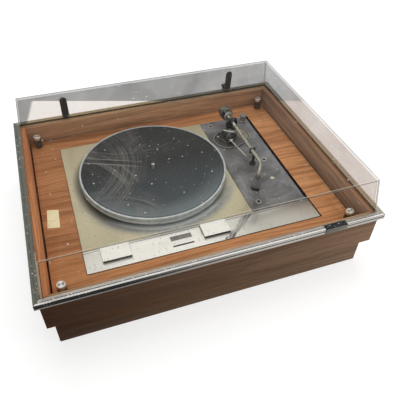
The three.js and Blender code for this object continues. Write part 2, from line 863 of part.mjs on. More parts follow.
function subChassis() {
  const x = (share) => deckLeft + share * (armRight - deckLeft);
  const y = (share) => panelBack + share * plateDepth;
  const [left, right, notch] = [chassisLeftShare, chassisRightShare, chassisNotchShare].map(x);
  const [front, back, notchFront] = [chassisFrontShare, chassisBackShare, chassisNotchFrontShare].map(y);
  const plan = outline([
    [left, front], [right, front], [right, back], [notch, back], [notch, notchFront], [left, notchFront],
  ]);
  const plate = slab(plan, chassisBottom, chassisTop);
  const posts = [armLeft + chassisPostInset, armRight - chassisPostInset].flatMap((px) => {
    const places = [panelBack + 2 * chassisPostInset, deckBack - chassisPostInset];
    return places.map((py) => rod(chassisPostRadius, [px, py, chassisBottom + chassisThickness / 2],
      [px, py, deckTop - armboardThickness - seatGap]));
  });
  const holes = studPlaces().map(([sx, sy]) => rod(studHoleRadius, [sx, sy, chassisBottom - overrun],
    [sx, sy, chassisTop + overrun]));
  const bearingHole = rod(bearingRadius + seatGap, [platterX, platterY, chassisBottom - overrun],
    [platterX, platterY, chassisTop + overrun], middleSides);
  place('sub_chassis', cut(join(plate, ...posts), bearingHole, ...holes), greySteel);
  place('armboard',
    box(armLeft, armRight, panelBack + deckGap, deckBack, deckTop - armboardThickness, deckTop),
    texturedGrey);
  ['left', 'right', 'back'].forEach((side, i) => {
    const spring = coilSpring(chassisSpringRadius, springWire, chassisSpringLength, springTurns);
    place(`chassis_spring_${side}`, spring, greySteel).position.set(...studPlaces()[i], chassisSpringBottom);
  });
}

// The flat belt: straight runs between two rounds, as an outline with a hole
function beltLoop(offset, path) {
  const bigRadius = hubPlatterRadius + offset;
  const smallRadius = pulleyRadius + offset;
  const lean = Math.acos((hubPlatterRadius - pulleyRadius) / pulleyDistance);
  path.absarc(0, 0, bigRadius, lean, 2 * Math.PI - lean, false);
  path.absarc(pulleyDistance, 0, smallRadius, 2 * Math.PI - lean, 2 * Math.PI + lean, false);
  return path;
}

function driveBelt(holder) {
  const loop = beltLoop(beltGap + beltThickness, new THREE.Shape());
  loop.holes.push(beltLoop(beltGap, new THREE.Path()));
  const belt = slab(loop, beltBottom, beltBottom + beltHeight, beltSegments).rotateZ(motorAngle * radians);
  place('drive_belt', belt, blackRubber, holder);
}

function platterParts() {
  const holder = groupAt(platterX, platterY, 0);
  const inner = platterRadius - platterRimWidth;
  const lip = platterRadius - platterLipWidth;
  place('platter', turned([
    [platterBore, webBottom], [inner, webBottom], [inner, platterBottom],
    [platterRadius - playGap, platterBottom],
    [platterRadius, platterBottom + playGap], [platterRadius, platterTop - playGap],
    [platterRadius - playGap, platterTop], [lip, platterTop], [lip - seatGap, webTop], [platterBore, webTop],
    [platterBore, webBottom],
  ], wideSides), castMetal, holder);
  place('platter_mat', turned([
    [matBore, matBottom], [matRadius, matBottom], [matRadius, matTop - playGap],
    [matRadius - playGap, matTop], [matBore, matTop], [matBore, matBottom],
  ], wideSides), blackRubber, holder);

  const rim = hubPlatterRadius - hubPlatterRim;
  const webLow = hubTop - 2 * hubWebThickness;
  const shaftBottom = hubBottom - hubDrop - shaftLength;
  const bossRadius = platterBore - seatGap;
  const spindleTop = matTop + spindleHeight;
  place('sub_platter', turned([
    [0, shaftBottom], [shaftRadius, shaftBottom], [shaftRadius, hubBottom - hubDrop + seatGap],
    [hubRadius, hubBottom - hubDrop + seatGap], [hubRadius, webLow], [rim, webLow], [rim, hubBottom],
    [hubPlatterRadius, hubBottom], [hubPlatterRadius, hubTop], [rim, hubTop], [rim, webLow + hubWebThickness],
    [hubRadius, webLow + hubWebThickness], [bossRadius, hubTop], [bossRadius, webTop - seatGap],
    [spindleRadius, webTop - seatGap], [spindleRadius, spindleTop - spindleRadius],
    [spindleRadius / 2, spindleTop], [0, spindleTop],
  ], hubSides), castMetal, holder);

  const housingTop = hubBottom - hubDrop - seatGap;
  const bore = shaftRadius + runGap;
  const flangeBottom = chassisTop + seatGap;
  place('bearing_housing', turned([
    [0, chassisBottom - bearingDepth], [bearingRadius, chassisBottom - bearingDepth],
    [bearingRadius, flangeBottom],
    [bearingFlangeRadius, flangeBottom], [bearingFlangeRadius, flangeBottom + bearingFlangeThickness],
    [bearingRadius, flangeBottom + bearingFlangeThickness], [bearingRadius, housingTop], [bore, housingTop],
    [bore, shaftBottom - seatGap], [0, shaftBottom - seatGap],
  ], middleSides), greySteel, holder);
  driveBelt(holder);
}

// Arm base: bedplate, pillar, rest, lift and thumbscrew

function bedplate() {
  const half = bedplateWidth / 2;
  const run = bedplateLength / 2 - half;
  const plan = new THREE.Shape();
  plan.absarc(run, 0, half, -Math.PI / 2, Math.PI / 2, false);
  plan.absarc(-run, 0, half, Math.PI / 2, 1.5 * Math.PI, false);
  const bottom = deckTop + seatGap;
  const slots = [-1, 1].map((side) => {
    const middle = side * (run + half / 2);
    return box(middle - bedSlotWidth / 2, middle + bedSlotWidth / 2, -bedSlotLength / 2, bedSlotLength / 2,
      bottom - overrun, bedTop + overrun);
  });
  const plate = cut(slab(plan, bottom, bedTop), ...slots);
  const holder = groupAt(pivotX - bedplateInward, pivotY - bedplateForward, 0);
  place('arm_bedplate', plate.rotateZ(bedplateAngle * radians), texturedGrey, holder);
}

const liftX = liftRadius * Math.cos(liftAngle * radians);
const liftY = liftRadius * Math.sin(liftAngle * radians);
const leverY = liftY - leverEarReach;
const leverZ = pillarBottom + leverHeight;

function armPillar(holder) {
  const collarTop = pillarBottom + collarHeight;
  const bore = yokePinRadius + runGap;
  const post = turned([
    [0, pillarBottom], [collarRadius, pillarBottom], [collarRadius, collarTop], [pillarRadius, collarTop],
    [pillarRadius, pillarTop], [bore, pillarTop], [bore, pillarTop - yokePinLength],
    [0, pillarTop - yokePinLength],
  ], middleSides);
  const bridge = box(0, liftRadius, -liftBridgeWidth / 2, liftBridgeWidth / 2, pillarBottom,
    pillarBottom + liftBridgeHeight).rotateZ(liftAngle * radians);
  const pinHole = box(-collarRadius / 2, collarRadius / 2, -collarRadius / 2, collarRadius / 2,
    pillarBottom, pillarBottom + liftBridgeHeight);
  const housing = rod(liftHousingRadius, [liftX, liftY, pillarBottom],
    [liftX, liftY, pillarBottom + liftHousingHeight], middleSides);
  const bored = rod(liftRodRadius + runGap, [liftX, liftY, pillarBottom + liftTravel],
    [liftX, liftY, pillarBottom + liftHousingHeight + overrun]);
  const ears = [-1, 1].map((side) => {
    const near = liftX + side * (leverHubWidth / 2 + runGap);
    const far = near + side * leverEarThickness;
    const ear = box(Math.min(near, far), Math.max(near, far), leverY - leverHubRadius, liftY,
      pillarBottom + leverHubRadius, leverZ + leverHubRadius);
    return cut(ear, rod(leverPinRadius + runGap, [liftX - leverHubWidth, leverY, leverZ],
      [liftX + leverHubWidth, leverY, leverZ]));
  });
  place('arm_pillar', cut(join(post, join(bridge, pinHole), housing, ...ears), bored), greySteel, holder);
}

function armLift(holder) {
  const inner = liftRadius - liftBarWidth / 2;
  const outer = liftRadius + liftBarWidth / 2;
  const arc = new THREE.Shape();
  arc.absarc(0, 0, outer, liftArcStart * radians, liftArcEnd * radians, false);
  arc.absarc(0, 0, inner, liftArcEnd * radians, liftArcStart * radians, true);
  const bar = slab(arc, liftTop - liftBarThickness, liftTop);
  const lowest = pillarBottom + liftTravel + runGap;
  const stem = rod(liftRodRadius, [liftX, liftY, lowest], [liftX, liftY, liftTop - liftBarThickness / 2]);
  place('lift_platform', join(bar, stem), silver, holder);

  const hub = rod(leverHubRadius, [liftX - leverHubWidth / 2, leverY, leverZ],
    [liftX + leverHubWidth / 2, leverY, leverZ]);
  const pinEnd = leverHubWidth / 2 + leverEarThickness;
  const pin = rod(leverPinRadius, [liftX - pinEnd, leverY, leverZ], [liftX + pinEnd, leverY, leverZ]);
  const handle = rod(leverRodRadius, [liftX, leverY, leverZ],
    [liftX + leverTipOffset, leverY - leverRodLength, leverZ + leverTipHeight]);
  place('lift_lever', join(hub, pin, handle), chrome, holder);
}

function armRest(holder) {
  const floorTop = pivotZ - bandRadius - seatGap;
  const floorBottom = floorTop - restWall;
  const foot = deckTop + seatGap;
  const near = bandRadius + runGap;
  const post = turned([
    [0, foot], [restFootRadius, foot], [restFootRadius, foot + restFootHeight],
    [restPostRadius, foot + restFootHeight],
    [restPostRadius, floorBottom + restWall / 2], [0, floorBottom + restWall / 2],
  ], smallSides).translate(near + restWall / 2, -restDistance, 0);
  const floor = box(-near, near + restWall, -restDistance - restDepth / 2, -restDistance + restDepth / 2,
    floorBottom, floorTop);
  const side = box(near, near + restWall, -restDistance - restDepth / 2, -restDistance + restDepth / 2,
    floorBottom, pivotZ + restSideHeight);
  place('arm_rest', join(post, floor, side), blackPlastic, holder);
}

function thumbscrew() {
  const seat = deckTop + seatGap;
  const top = seat + thumbHeight;
  const holder = groupAt(armRight - thumbFromRight, deckBack - thumbFromBack, 0);
  place('armboard_thumbscrew', turned([
    [0, seat], [thumbRadius, seat], [thumbRadius, seat + thumbCapHeight],
    [thumbNeckRadius, seat + thumbCapHeight],
    [thumbNeckRadius, top - thumbCapHeight], [thumbRadius, top - thumbCapHeight],
    [thumbRadius, top - playGap], [thumbRadius - playGap, top], [0, top],
  ], middleSides), chrome, holder);
}

// Tone arm

function bearingYoke(holder) {
  const discTop = yokeBottom + yokeDiscHeight;
  const disc = turned([
    [0, yokeBottom - yokePinLength + overrun], [yokePinRadius, yokeBottom - yokePinLength + overrun],
    [yokePinRadius, yokeBottom], [yokeDiscRadius, yokeBottom], [yokeDiscRadius, discTop], [0, discTop],
  ], middleSides);
  const cheeks = [-1, 1].map((side) => {
    const far = side * yokeWidth / 2;
    const near = side * (yokeWidth / 2 - yokeCheekThickness);
    return box(Math.min(near, far), Math.max(near, far), -yokeCheekDepth / 2, yokeCheekDepth / 2,
      yokeBottom, pivotZ + yokeTopHeight);
  });
  const hole = rod(axleRadius + runGap, [-yokeWidth, 0, pivotZ], [yokeWidth, 0, pivotZ]);
  place('bearing_yoke', cut(join(disc, ...cheeks), hole), blackMetal, holder);
}

function armTube(holder) {
  const options = { steps: tubeSteps, extrudePath: new ArmLine(), bevelEnabled: false };
  const tube = new THREE.ExtrudeGeometry(ring(tubeRadius, tubeSides), options).translate(0, 0, pivotZ);
  const block = box(-bearingBlockWidth / 2, bearingBlockWidth / 2, -bearingBlockDepth / 2,
    bearingBlockDepth / 2, pivotZ - bearingBlockHeight / 2, pivotZ + bearingBlockHeight / 2);
  const pinEnd = yokeWidth / 2;
  const axle = rod(axleRadius, [-pinEnd, 0, pivotZ], [pinEnd, 0, pivotZ]);
  const stub = rod(stubRadius, [0, 0, pivotZ], [0, stubLength, pivotZ], middleSides);
  const band = rod(bandRadius, [0, -restDistance - restDepth / 2, pivotZ],
    [0, -restDistance + restDepth / 2, pivotZ], middleSides);
  const end = new ArmLine().getPoint(1);
  const back = new THREE.Vector3(Math.sin(bendAngle * radians), Math.cos(bendAngle * radians), 0);
  const start = end.clone().addScaledVector(back, collarLength);
  const collar = rod(headCollarRadius, [start.x, start.y, pivotZ], [end.x, end.y, pivotZ], middleSides);
  place('arm_tube', join(tube, block, axle, stub, band, collar), tubeMetal, holder);
}

function headshellParts(holder) {
  const end = new ArmLine().getPoint(1);
  const head = groupAt(end.x, end.y, pivotZ, holder);
  head.rotation.z = -bendAngle * radians;
  const neck = rod(shellNeckRadius, [0, -seatGap, 0], [0, -shellNeckLength - seatGap, 0]);
  const back = -shellNeckLength;
  const front = -shellLength - seatGap;
  const plan = outline([
    [-shellBackWidth / 2, back], [-shellFrontWidth / 2, front], [shellFrontWidth / 2, front],
    [shellBackWidth / 2, back],
  ]);
  const plate = slab(plan, -shellThickness / 2, shellThickness / 2);
  place('headshell', join(plate, neck), blackMetal, head);

  const top = -shellThickness / 2 - seatGap;
  const low = top - cartridgeHeight;
  const rear = front + cartridgeLength;
  const body = sideSlab([
    [rear, top], [front + playGap, top], [front + playGap, low + cartridgeNose], [front + cartridgeNose, low],
    [rear - cartridgeNose, low], [rear, low + cartridgeNose],
  ], 0, cartridgeWidth);
  const tipY = front + stylusFromFront;
  const stylus = new THREE.ConeGeometry(stylusRadius, 2 * stylusDrop, smallSides).rotateX(-Math.PI / 2)
    .translate(0, tipY + playGap, low);
  place('cartridge', join(body, stylus), blackPlastic, head);
}

function counterweight(holder) {
  const bore = stubRadius + runGap;
  const neckEnd = weightFromPivot + weightNeckLength;
  const rear = neckEnd + weightLength;
  const weight = turned([
    [bore, weightFromPivot], [weightNeckRadius, weightFromPivot], [weightNeckRadius, neckEnd],
    [weightRadius - weightChamfer, neckEnd], [weightRadius, neckEnd + weightChamfer],
    [weightRadius, rear - weightChamfer], [weightRadius - weightChamfer, rear], [bore, rear],
    [bore, weightFromPivot],
  ], middleSides);
  const mesh = place('counterweight', weight, greySteel, holder);
  mesh.position.z = pivotZ;
  mesh.rotation.x = -Math.PI / 2;
}

// Dust cover and hinges

const coverLean = (coverTopInset - coverBottomInset) / (coverTop - coverBottom);

function dustCover() {
  const innerTop = coverTop - coverThickness;
  const lean = (z) => coverBottomInset + (z - coverBottom) * coverLean;
  place('dust_cover', rectangleSweep([
    [coverTopInset, coverTop], [coverBottomInset, coverBottom],
    [coverBottomInset + coverThickness, coverBottom], [lean(innerTop) + coverThickness, innerTop],
  ], railX, railY, false), smokyGlass);
}

// The strap follows the leaning back wall of the cover, and its top is round
function hingeStrap(side, name) {
  const x = side * (railX - hingeFromSide);
  const wallY = (z) => railY - coverBottomInset - (z - coverBottom) * coverLean + seatGap;
  const foot = hingeZ - strapFootHeight / 2;
  const top = foot + strapHeight;
  const strap = sideSlab([
    [wallY(foot), foot], [wallY(foot) + strapThickness, foot], [wallY(top) + strapThickness, top],
    [wallY(top), top],
  ], x, hingeWidth);
  const crownZ = top - hingeWidth / 2;
  const crown = rod(hingeWidth / 2, [x, wallY(top) - overrun, crownZ], [x, railY, crownZ], middleSides);
  const corner = box(x - hingeWidth, x + hingeWidth, wallY(top) - overrun, railY, crownZ, top + overrun);
  const tongue = box(x - knuckleWidth / 2, x + knuckleWidth / 2, wallY(foot) + strapThickness / 2, hingeY,
    foot, foot + strapFootHeight);
  const knuckle = rod(knuckleRadius, [x - knuckleWidth / 2, hingeY, hingeZ],
    [x + knuckleWidth / 2, hingeY, hingeZ]);
  const bore = rod(hingePinRadius + runGap, [x - hingeWidth, hingeY, hingeZ],
    [x + hingeWidth, hingeY, hingeZ]);
  place(`hinge_strap_${name}`, cut(join(strap, tongue, knuckle), cut(corner, crown), bore), blackMetal);
}

function hingeBracket(side, name) {
  const x = side * (railX - hingeFromSide);
  const outerY = railY + seatGap + bracketThickness;
  const railBottom = railTop - railHeight - seatGap;
  const earTop = hingeZ - knuckleRadius - runGap;
  const leaf = sideSlab([
    [bodyY + seatGap, railBottom - bracketDrop], [outerY, railBottom - bracketDrop], [outerY, earTop],
    [railY + seatGap, earTop], [railY + seatGap, railBottom], [bodyY + seatGap, railBottom],
  ], x, hingeWidth);
  const earWidth = (hingeWidth - knuckleWidth) / 2 - runGap;
  const ears = [-1, 1].flatMap((end) => {
    const middle = x + end * (hingeWidth - earWidth) / 2;
    const lug = box(middle - earWidth / 2, middle + earWidth / 2, railY + seatGap, outerY,
      earTop - bracketThickness, hingeZ);
    return [lug,
      rod(knuckleRadius, [middle - earWidth / 2, hingeY, hingeZ], [middle + earWidth / 2, hingeY, hingeZ])];
  });
  const pin = rod(hingePinRadius, [x - hingeWidth / 2, hingeY, hingeZ], [x + hingeWidth / 2, hingeY, hingeZ]);
  place(`hinge_bracket_${name}`, join(leaf, ...ears, pin), blackMetal);
}

mitredWalls();
base();
cornerBlocks();
edgeRail();
motorBoard();
levelKnobs();
deckPlate();
controlPanel();
slidingKey('power_key', powerKeyX);
slidingKey('speed_key', speedKeyX);
trimWheel();
driveMotor();
transformer();
circuitBoard();
subChassis();
platterParts();
bedplate();
thumbscrew();

const armFrame = groupAt(pivotX, pivotY, 0);
armPillar(armFrame);
armLift(armFrame);
armRest(armFrame);
bearingYoke(armFrame);
armTube(armFrame);
headshellParts(armFrame);
counterweight(armFrame);

dustCover();
for (const [side, name] of sides) {
  hingeStrap(side, name);
  hingeBracket(side, name);
}

export default turntable;
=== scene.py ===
"""Looks of a belt driven turntable over its fixed CAD frame, +Z up and -Y towards the front."""

import logging
import math
from dataclasses import dataclass
from enum import Enum

import bmesh
import bpy
from mathutils import Matrix, Vector


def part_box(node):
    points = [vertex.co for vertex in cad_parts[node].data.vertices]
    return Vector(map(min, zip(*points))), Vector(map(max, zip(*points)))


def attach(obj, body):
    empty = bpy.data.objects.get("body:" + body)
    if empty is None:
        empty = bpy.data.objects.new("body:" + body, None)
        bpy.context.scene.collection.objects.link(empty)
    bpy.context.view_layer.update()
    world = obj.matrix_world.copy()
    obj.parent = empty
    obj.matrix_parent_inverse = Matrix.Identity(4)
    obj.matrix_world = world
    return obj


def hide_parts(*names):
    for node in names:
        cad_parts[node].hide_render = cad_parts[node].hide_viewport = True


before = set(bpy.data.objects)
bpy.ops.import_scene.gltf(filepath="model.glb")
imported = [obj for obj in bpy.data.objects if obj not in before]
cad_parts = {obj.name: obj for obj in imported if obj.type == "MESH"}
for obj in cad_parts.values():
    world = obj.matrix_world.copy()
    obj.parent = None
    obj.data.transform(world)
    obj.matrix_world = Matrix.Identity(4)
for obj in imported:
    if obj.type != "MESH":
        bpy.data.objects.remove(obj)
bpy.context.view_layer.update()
LOG = logging.getLogger("turntable")
MM = 0.001

Colour = tuple[float, float, float]
Point = tuple[float, float, float]
Flat = tuple[float, float]
Socket = bpy.types.NodeSocket
Material = bpy.types.Material
Piece = bpy.types.Object
Value = Socket | float | tuple

# Sizes that several pieces share, in millimetres

HALF = (309.0, 250.0)
MIDDLE_Y = -4.5
BOARD_TOP = 95.3
KNOB = (266.0, 208.0)
CAP_RADIUS = 7.6
PLATTER = (-48.75, 33.0, 0.0)
PIVOT = (158.25, 114.5, 133.3)
STRAP_X = 195.0
COVER_HEIGHTS = (135.6, 209.3)
COVER_INSETS = (10.8, 20.5)


def srgb(red: int, green: int, blue: int) -> Colour:
    """Turns a colour read as 0 to 255 into the linear values that shaders take.

    Args:
        red: Red, 0 to 255.
        green: Green, 0 to 255.
        blue: Blue, 0 to 255.

    Returns:
        The linear colour.
    """
    shares = (value / 255 for value in (red, green, blue))
    return tuple(s / 12.92 if s <= 0.04045 else ((s + 0.055) / 1.055) ** 2.4 for s in shares)


def metres(sizes: tuple) -> tuple:
    """Turns sizes in millimetres into metres."""
    return tuple(size * MM for size in sizes)


class Grain(Enum):
    """The axis that a wood grain or a brushed line runs along."""

    X = 0
    Y = 1
    Z = 2

    def stretch(self, along: float, across: float) -> Point:
        """Cycles to the metre, few along this axis and many across it."""
        return tuple(along if i == self.value else across for i in range(3))


# Node trees and materials


class Nodes:
    """A node tree in the making: a material's, the world's or a Geometry Nodes tree."""

    def __init__(self, tree: bpy.types.NodeTree, prefix: str = "ShaderNode") -> None:
        """Starts with a tree, and with what the type names of its nodes begin with."""
        self.tree = tree
        self.prefix = prefix

    def node(self, kind: str, inputs: dict, output: int | str = 0, **options: str) -> Socket:
        """Adds one node.

        Args:
            kind: The node's type name, without the tree's prefix.
            inputs: Values or sockets for its inputs, by name or number.
            output: The output that is wanted.
            **options: The node's own settings.

        Returns:
            The wanted output.
        """
        made = self.tree.nodes.new(self.prefix + kind)
        for key, value in options.items():
            setattr(made, key, value)
        for key, value in inputs.items():
            self.feed(made.inputs[key], value)
        return made.outputs[output]

    def feed(self, socket: Socket, value: Value) -> None:
        """Links a socket to another, or sets its plain value.

        Args:
            socket: The input.
            value: A socket, a number, a colour or a vector.
        """
        if isinstance(value, Socket):
            self.tree.links.new(value, socket)
        elif socket.type == "RGBA" and len(value) == 3:
            socket.default_value = (*value, 1.0)
        else:
            socket.default_value = value

    def maths(self, operation: str, first: Value, second: Value = 0.0) -> Socket:
        """One sum of the Math node, from sockets or numbers."""
        return self.node("Math", {0: first, 1: second}, operation=operation)

    def most(self, first: Value, second: Value) -> Socket:
        """The larger of the two."""
        return self.maths("MAXIMUM", first, second)

    def ranged(self, value: Value, low: float, high: float, start: float = 0.0, end: float = 1.0,
               smooth: bool = False) -> Socket:
        """Maps low to start and high to end, and holds both ends.

        Args:
            value: The socket to map.
            low: The value that gives start.
            high: The value that gives end.
            start: The result at low.
            end: The result at high.
            smooth: Whether the change eases in and out.

        Returns:
            The mapped value.
        """
        inputs = {"Value": value, "From Min": low, "From Max": high, "To Min": start, "To Max": end}
        kind = "SMOOTHSTEP" if smooth else "LINEAR"
        return self.node("MapRange", inputs, interpolation_type=kind)

    def seen(self) -> Socket:
        """1 for what the camera sees by itself, in a reflection or through a clear sheet, and 0 for light."""
        rays = self.tree.nodes.new("ShaderNodeLightPath").outputs
        return self.most(self.most(rays["Is Camera Ray"], rays["Is Glossy Ray"]), rays["Is Transmission Ray"])


class Mixer(Nodes):
    """Builds one material: its Principled shader and the nodes that feed it."""

    def __init__(self, name: str) -> None:
        """Starts a material whose patterns read Object coordinates.

        Args:
            name: The material's name.
        """
        self.material = bpy.data.materials.new(name)
        self.material.use_nodes = True
        super().__init__(self.material.node_tree)
        self.shader = self.tree.nodes["Principled BSDF"]
        self.place = self.node("TexCoord", {}, "Object")

    def spread(self, scale: Point | float = 1.0, at: Socket | None = None, turn: Point = (0, 0, 0),
               shift: Point = (0, 0, 0)) -> Socket:
        """Stretches the coordinates.

        Args:
            scale: Cycles to the metre on each axis, or on all of them.
            at: The coordinates, Object ones unless given.
            turn: Rotation in radians.
            shift: Where the pattern starts, after scaling.

        Returns:
            The new coordinates.
        """
        scales = scale if isinstance(scale, tuple) else (scale, scale, scale)
        inputs = {"Vector": at or self.place, "Scale": scales, "Rotation": turn, "Location": shift}
        return self.node("Mapping", inputs)

    def noise(self, scale: Point | float, detail: float = 3.0, rough: float = 0.55, at: Socket | None = None,
              swirl: float = 0.0, shift: Point = (0, 0, 0)) -> Socket:
        """Smooth noise from 0 to 1.

        Args:
            scale: Cycles to the metre on each axis, or on all of them.
            detail: Octaves.
            rough: How strong the fine octaves are.
            at: The coordinates, Object ones unless given.
            swirl: Distortion.
            shift: Where the pattern starts.

        Returns:
            The noise's value.
        """
        inputs = {"Vector": self.spread(scale, at, shift=shift), "Scale": 1.0, "Detail": detail,
                  "Roughness": rough, "Distortion": swirl}
        return self.node("TexNoise", inputs)

    def specks(self, scale: float, size: float, share: float, plane: tuple = (Grain.X, Grain.Y)) -> Socket:
        """Scattered dots, 1 inside a dot and 0 outside.

        Args:
            scale: Cells to the metre.
            size: The largest dot's radius as a share of its cell.
            share: The share of cells that hold a dot.
            plane: The two axes that the cells divide.

        Returns:
            The dots' mask.
        """
        flat = self.joined(self.along(plane[0]), self.along(plane[1]))
        cell = self.tree.nodes.new("ShaderNodeTexVoronoi")
        cell.voronoi_dimensions = "2D"
        cell.inputs["Scale"].default_value = 1.0
        self.feed(cell.inputs["Vector"], self.spread((scale, scale, 1.0), flat))
        pick, bulk = (self.node("SeparateColor", {0: cell.outputs["Color"]}, i) for i in (0, 1))
        inside = self.maths("LESS_THAN", cell.outputs["Distance"], self.times(bulk, size))
        return self.times(inside, self.maths("LESS_THAN", pick, share))

    def joined(self, x: Value, y: Value = 0.0) -> Socket:
        """A vector whose third value is 0."""
        return self.node("CombineXYZ", {0: x, 1: y, 2: 0.0})

    def vector(self, operation: str, first: Value, second: Value = (0, 0, 0), output: int = 0) -> Socket:
        """One sum of the Vector Math node. Output 1 is its number."""
        return self.node("VectorMath", {0: first, 1: second}, output, operation=operation)

    def times(self, first: Value, *others: Value) -> Socket:
        """Multiplies sockets and numbers.

        Args:
            first: The first of them.
            *others: The rest.

        Returns:
            The product.
        """
        for other in others:
            first = self.maths("MULTIPLY", first, other)
        return first

    def plus(self, first: Value, second: Value) -> Socket:
        """The two together."""
        return self.maths("ADD", first, second)

    def less(self, first: Value, second: Value) -> Socket:
        """The first less the second."""
        return self.maths("SUBTRACT", first, second)

    def size(self, value: Value) -> Socket:
        """The value without its sign."""
        return self.maths("ABSOLUTE", value)

    def span(self, value: Value, low: float, high: float, *rest: float) -> Socket:
        """Does what ranged does to a length in metres, between limits in millimetres."""
        return self.ranged(value, low * MM, high * MM, *rest)

    def over(self, axis: Grain, low: float, high: float, *rest: float) -> Socket:
        """Does what ranged does along one axis, between limits in millimetres."""
        return self.span(self.along(axis), low, high, *rest)

    def towards(self, axis: Grain, low: float, high: float, *rest: float) -> Socket:
        """Does what ranged does to how far a face looks along one axis."""
        return self.ranged(self.facing(axis), low, high, *rest)

    def band(self, value: Value, rise: Flat, fall: Flat, smooth: bool = False) -> Socket:
        """A mask that comes up over one stretch of a length and goes down over another.

        Args:
            value: The length, in metres.
            rise: Where it leaves 0 and reaches 1, in millimetres.
            fall: Where it leaves 1 and reaches 0, in millimetres.
            smooth: Whether both changes ease in and out.

        Returns:
            The mask.
        """
        begin = self.span(value, *rise, 0.0, 1.0, smooth)
        end = self.span(value, *fall, 1.0, 0.0, smooth)
        return self.times(begin, end)

    def within(self, axis: Grain, low: float, high: float, ease: float) -> Socket:
        """1 from low to high on an axis, in millimetres, and as soft at either end as ease says."""
        return self.band(self.along(axis), (low - ease, low + ease), (high - ease, high + ease), True)

    def blend(self, share: Value, first: Value, second: Value, mode: str = "MIX") -> Socket:
        """Mixes two colours, with the second's share and the blend mode."""
        inputs = {0: share, 6: first, 7: second}
        return self.node("Mix", inputs, 2, data_type="RGBA", blend_type=mode)

    def along(self, axis: Grain) -> Socket:
        """One Object coordinate in metres."""
        return self.node("SeparateXYZ", {0: self.place}, axis.value)

    def past(self, axis: Grain, start: float) -> Socket:
        """How far a place lies past a start in millimetres, in metres."""
        return self.less(self.along(axis), start * MM)

    def normal(self) -> Socket:
        """The face's own normal in the piece's frame, so that it turns with the piece.

        Returns:
            The normal.
        """
        world = self.node("NewGeometry", {}, "True Normal")
        options = {"vector_type": "NORMAL", "convert_from": "WORLD", "convert_to": "OBJECT"}
        return self.node("VectorTransform", {0: world}, **options)

    def facing(self, axis: Grain) -> Socket:
        """One part of the face's own normal, -1 to 1."""
        return self.node("SeparateXYZ", {0: self.normal()}, axis.value)

    def outwards(self) -> Socket:
        """1 where an upright face looks away from the frame's middle."""
        level = self.vector("MULTIPLY", self.place, (1.0, 1.0, 0.0))
        return self.ranged(self.vector("DOT_PRODUCT", self.normal(), level, 1), 0.02, 0.1)

    def distance(self, centre: Point, axis: Grain = Grain.Z) -> Socket:
        """How far a place lies, in metres, from an axis through a point in millimetres."""
        away = self.vector("SUBTRACT", self.place, metres(centre))
        return self.vector("LENGTH", self.vector("MULTIPLY", away, axis.stretch(0.0, 1.0)), output=1)

    def relief(self, height: Value, depth: float, strength: float = 1.0) -> None:
        """Gives the surface a bump whose full height is depth, in millimetres."""
        inputs = {"Strength": strength, "Distance": depth * MM, "Height": height}
        self.feed(self.shader.inputs["Normal"], self.node("Bump", inputs))

    def shade(self, **values: Value) -> Material:
        """Sets or links the shader's inputs.

        Args:
            **values: Inputs by name, with _ for a space.

        Returns:
            The material.
        """
        for key, value in values.items():
            self.feed(self.shader.inputs[key.replace("_", " ")], value)
        return self.material


@dataclass(frozen=True)
class Finish:
    """A finish whose colour, gloss and surface vary a little over the piece."""

    name: str
    colour: Colour
    worn: Colour
    metal: float = 0.0
    gloss: Flat = (0.35, 0.55)
    grain: Point | float = 90.0
    fine: Point | float = 900.0
    depth: float = 0.03
    dust: float = 0.15
    dusty: Colour = (0.45, 0.43, 0.39)
    shine: float = 0.4

    def build(self) -> Material:
        """Makes the material.

        Returns:
            The material.
        """
        mix = Mixer(self.name)
        broad = mix.noise(self.grain, 4.0)
        close = mix.noise(self.fine, 2.0)
        base = mix.blend(mix.ranged(broad, 0.35, 0.68), self.colour, self.worn)
        settled = mix.times(mix.ranged(close, 0.52, 0.75), self.dust)
        mix.relief(close, self.depth)
        return mix.shade(
            Base_Color=mix.blend(settled, base, self.dusty),
            Metallic=self.metal,
            Roughness=mix.ranged(mix.plus(broad, close), 0.7, 1.3, *self.gloss),
            Specular_IOR_Level=self.shine,
        )


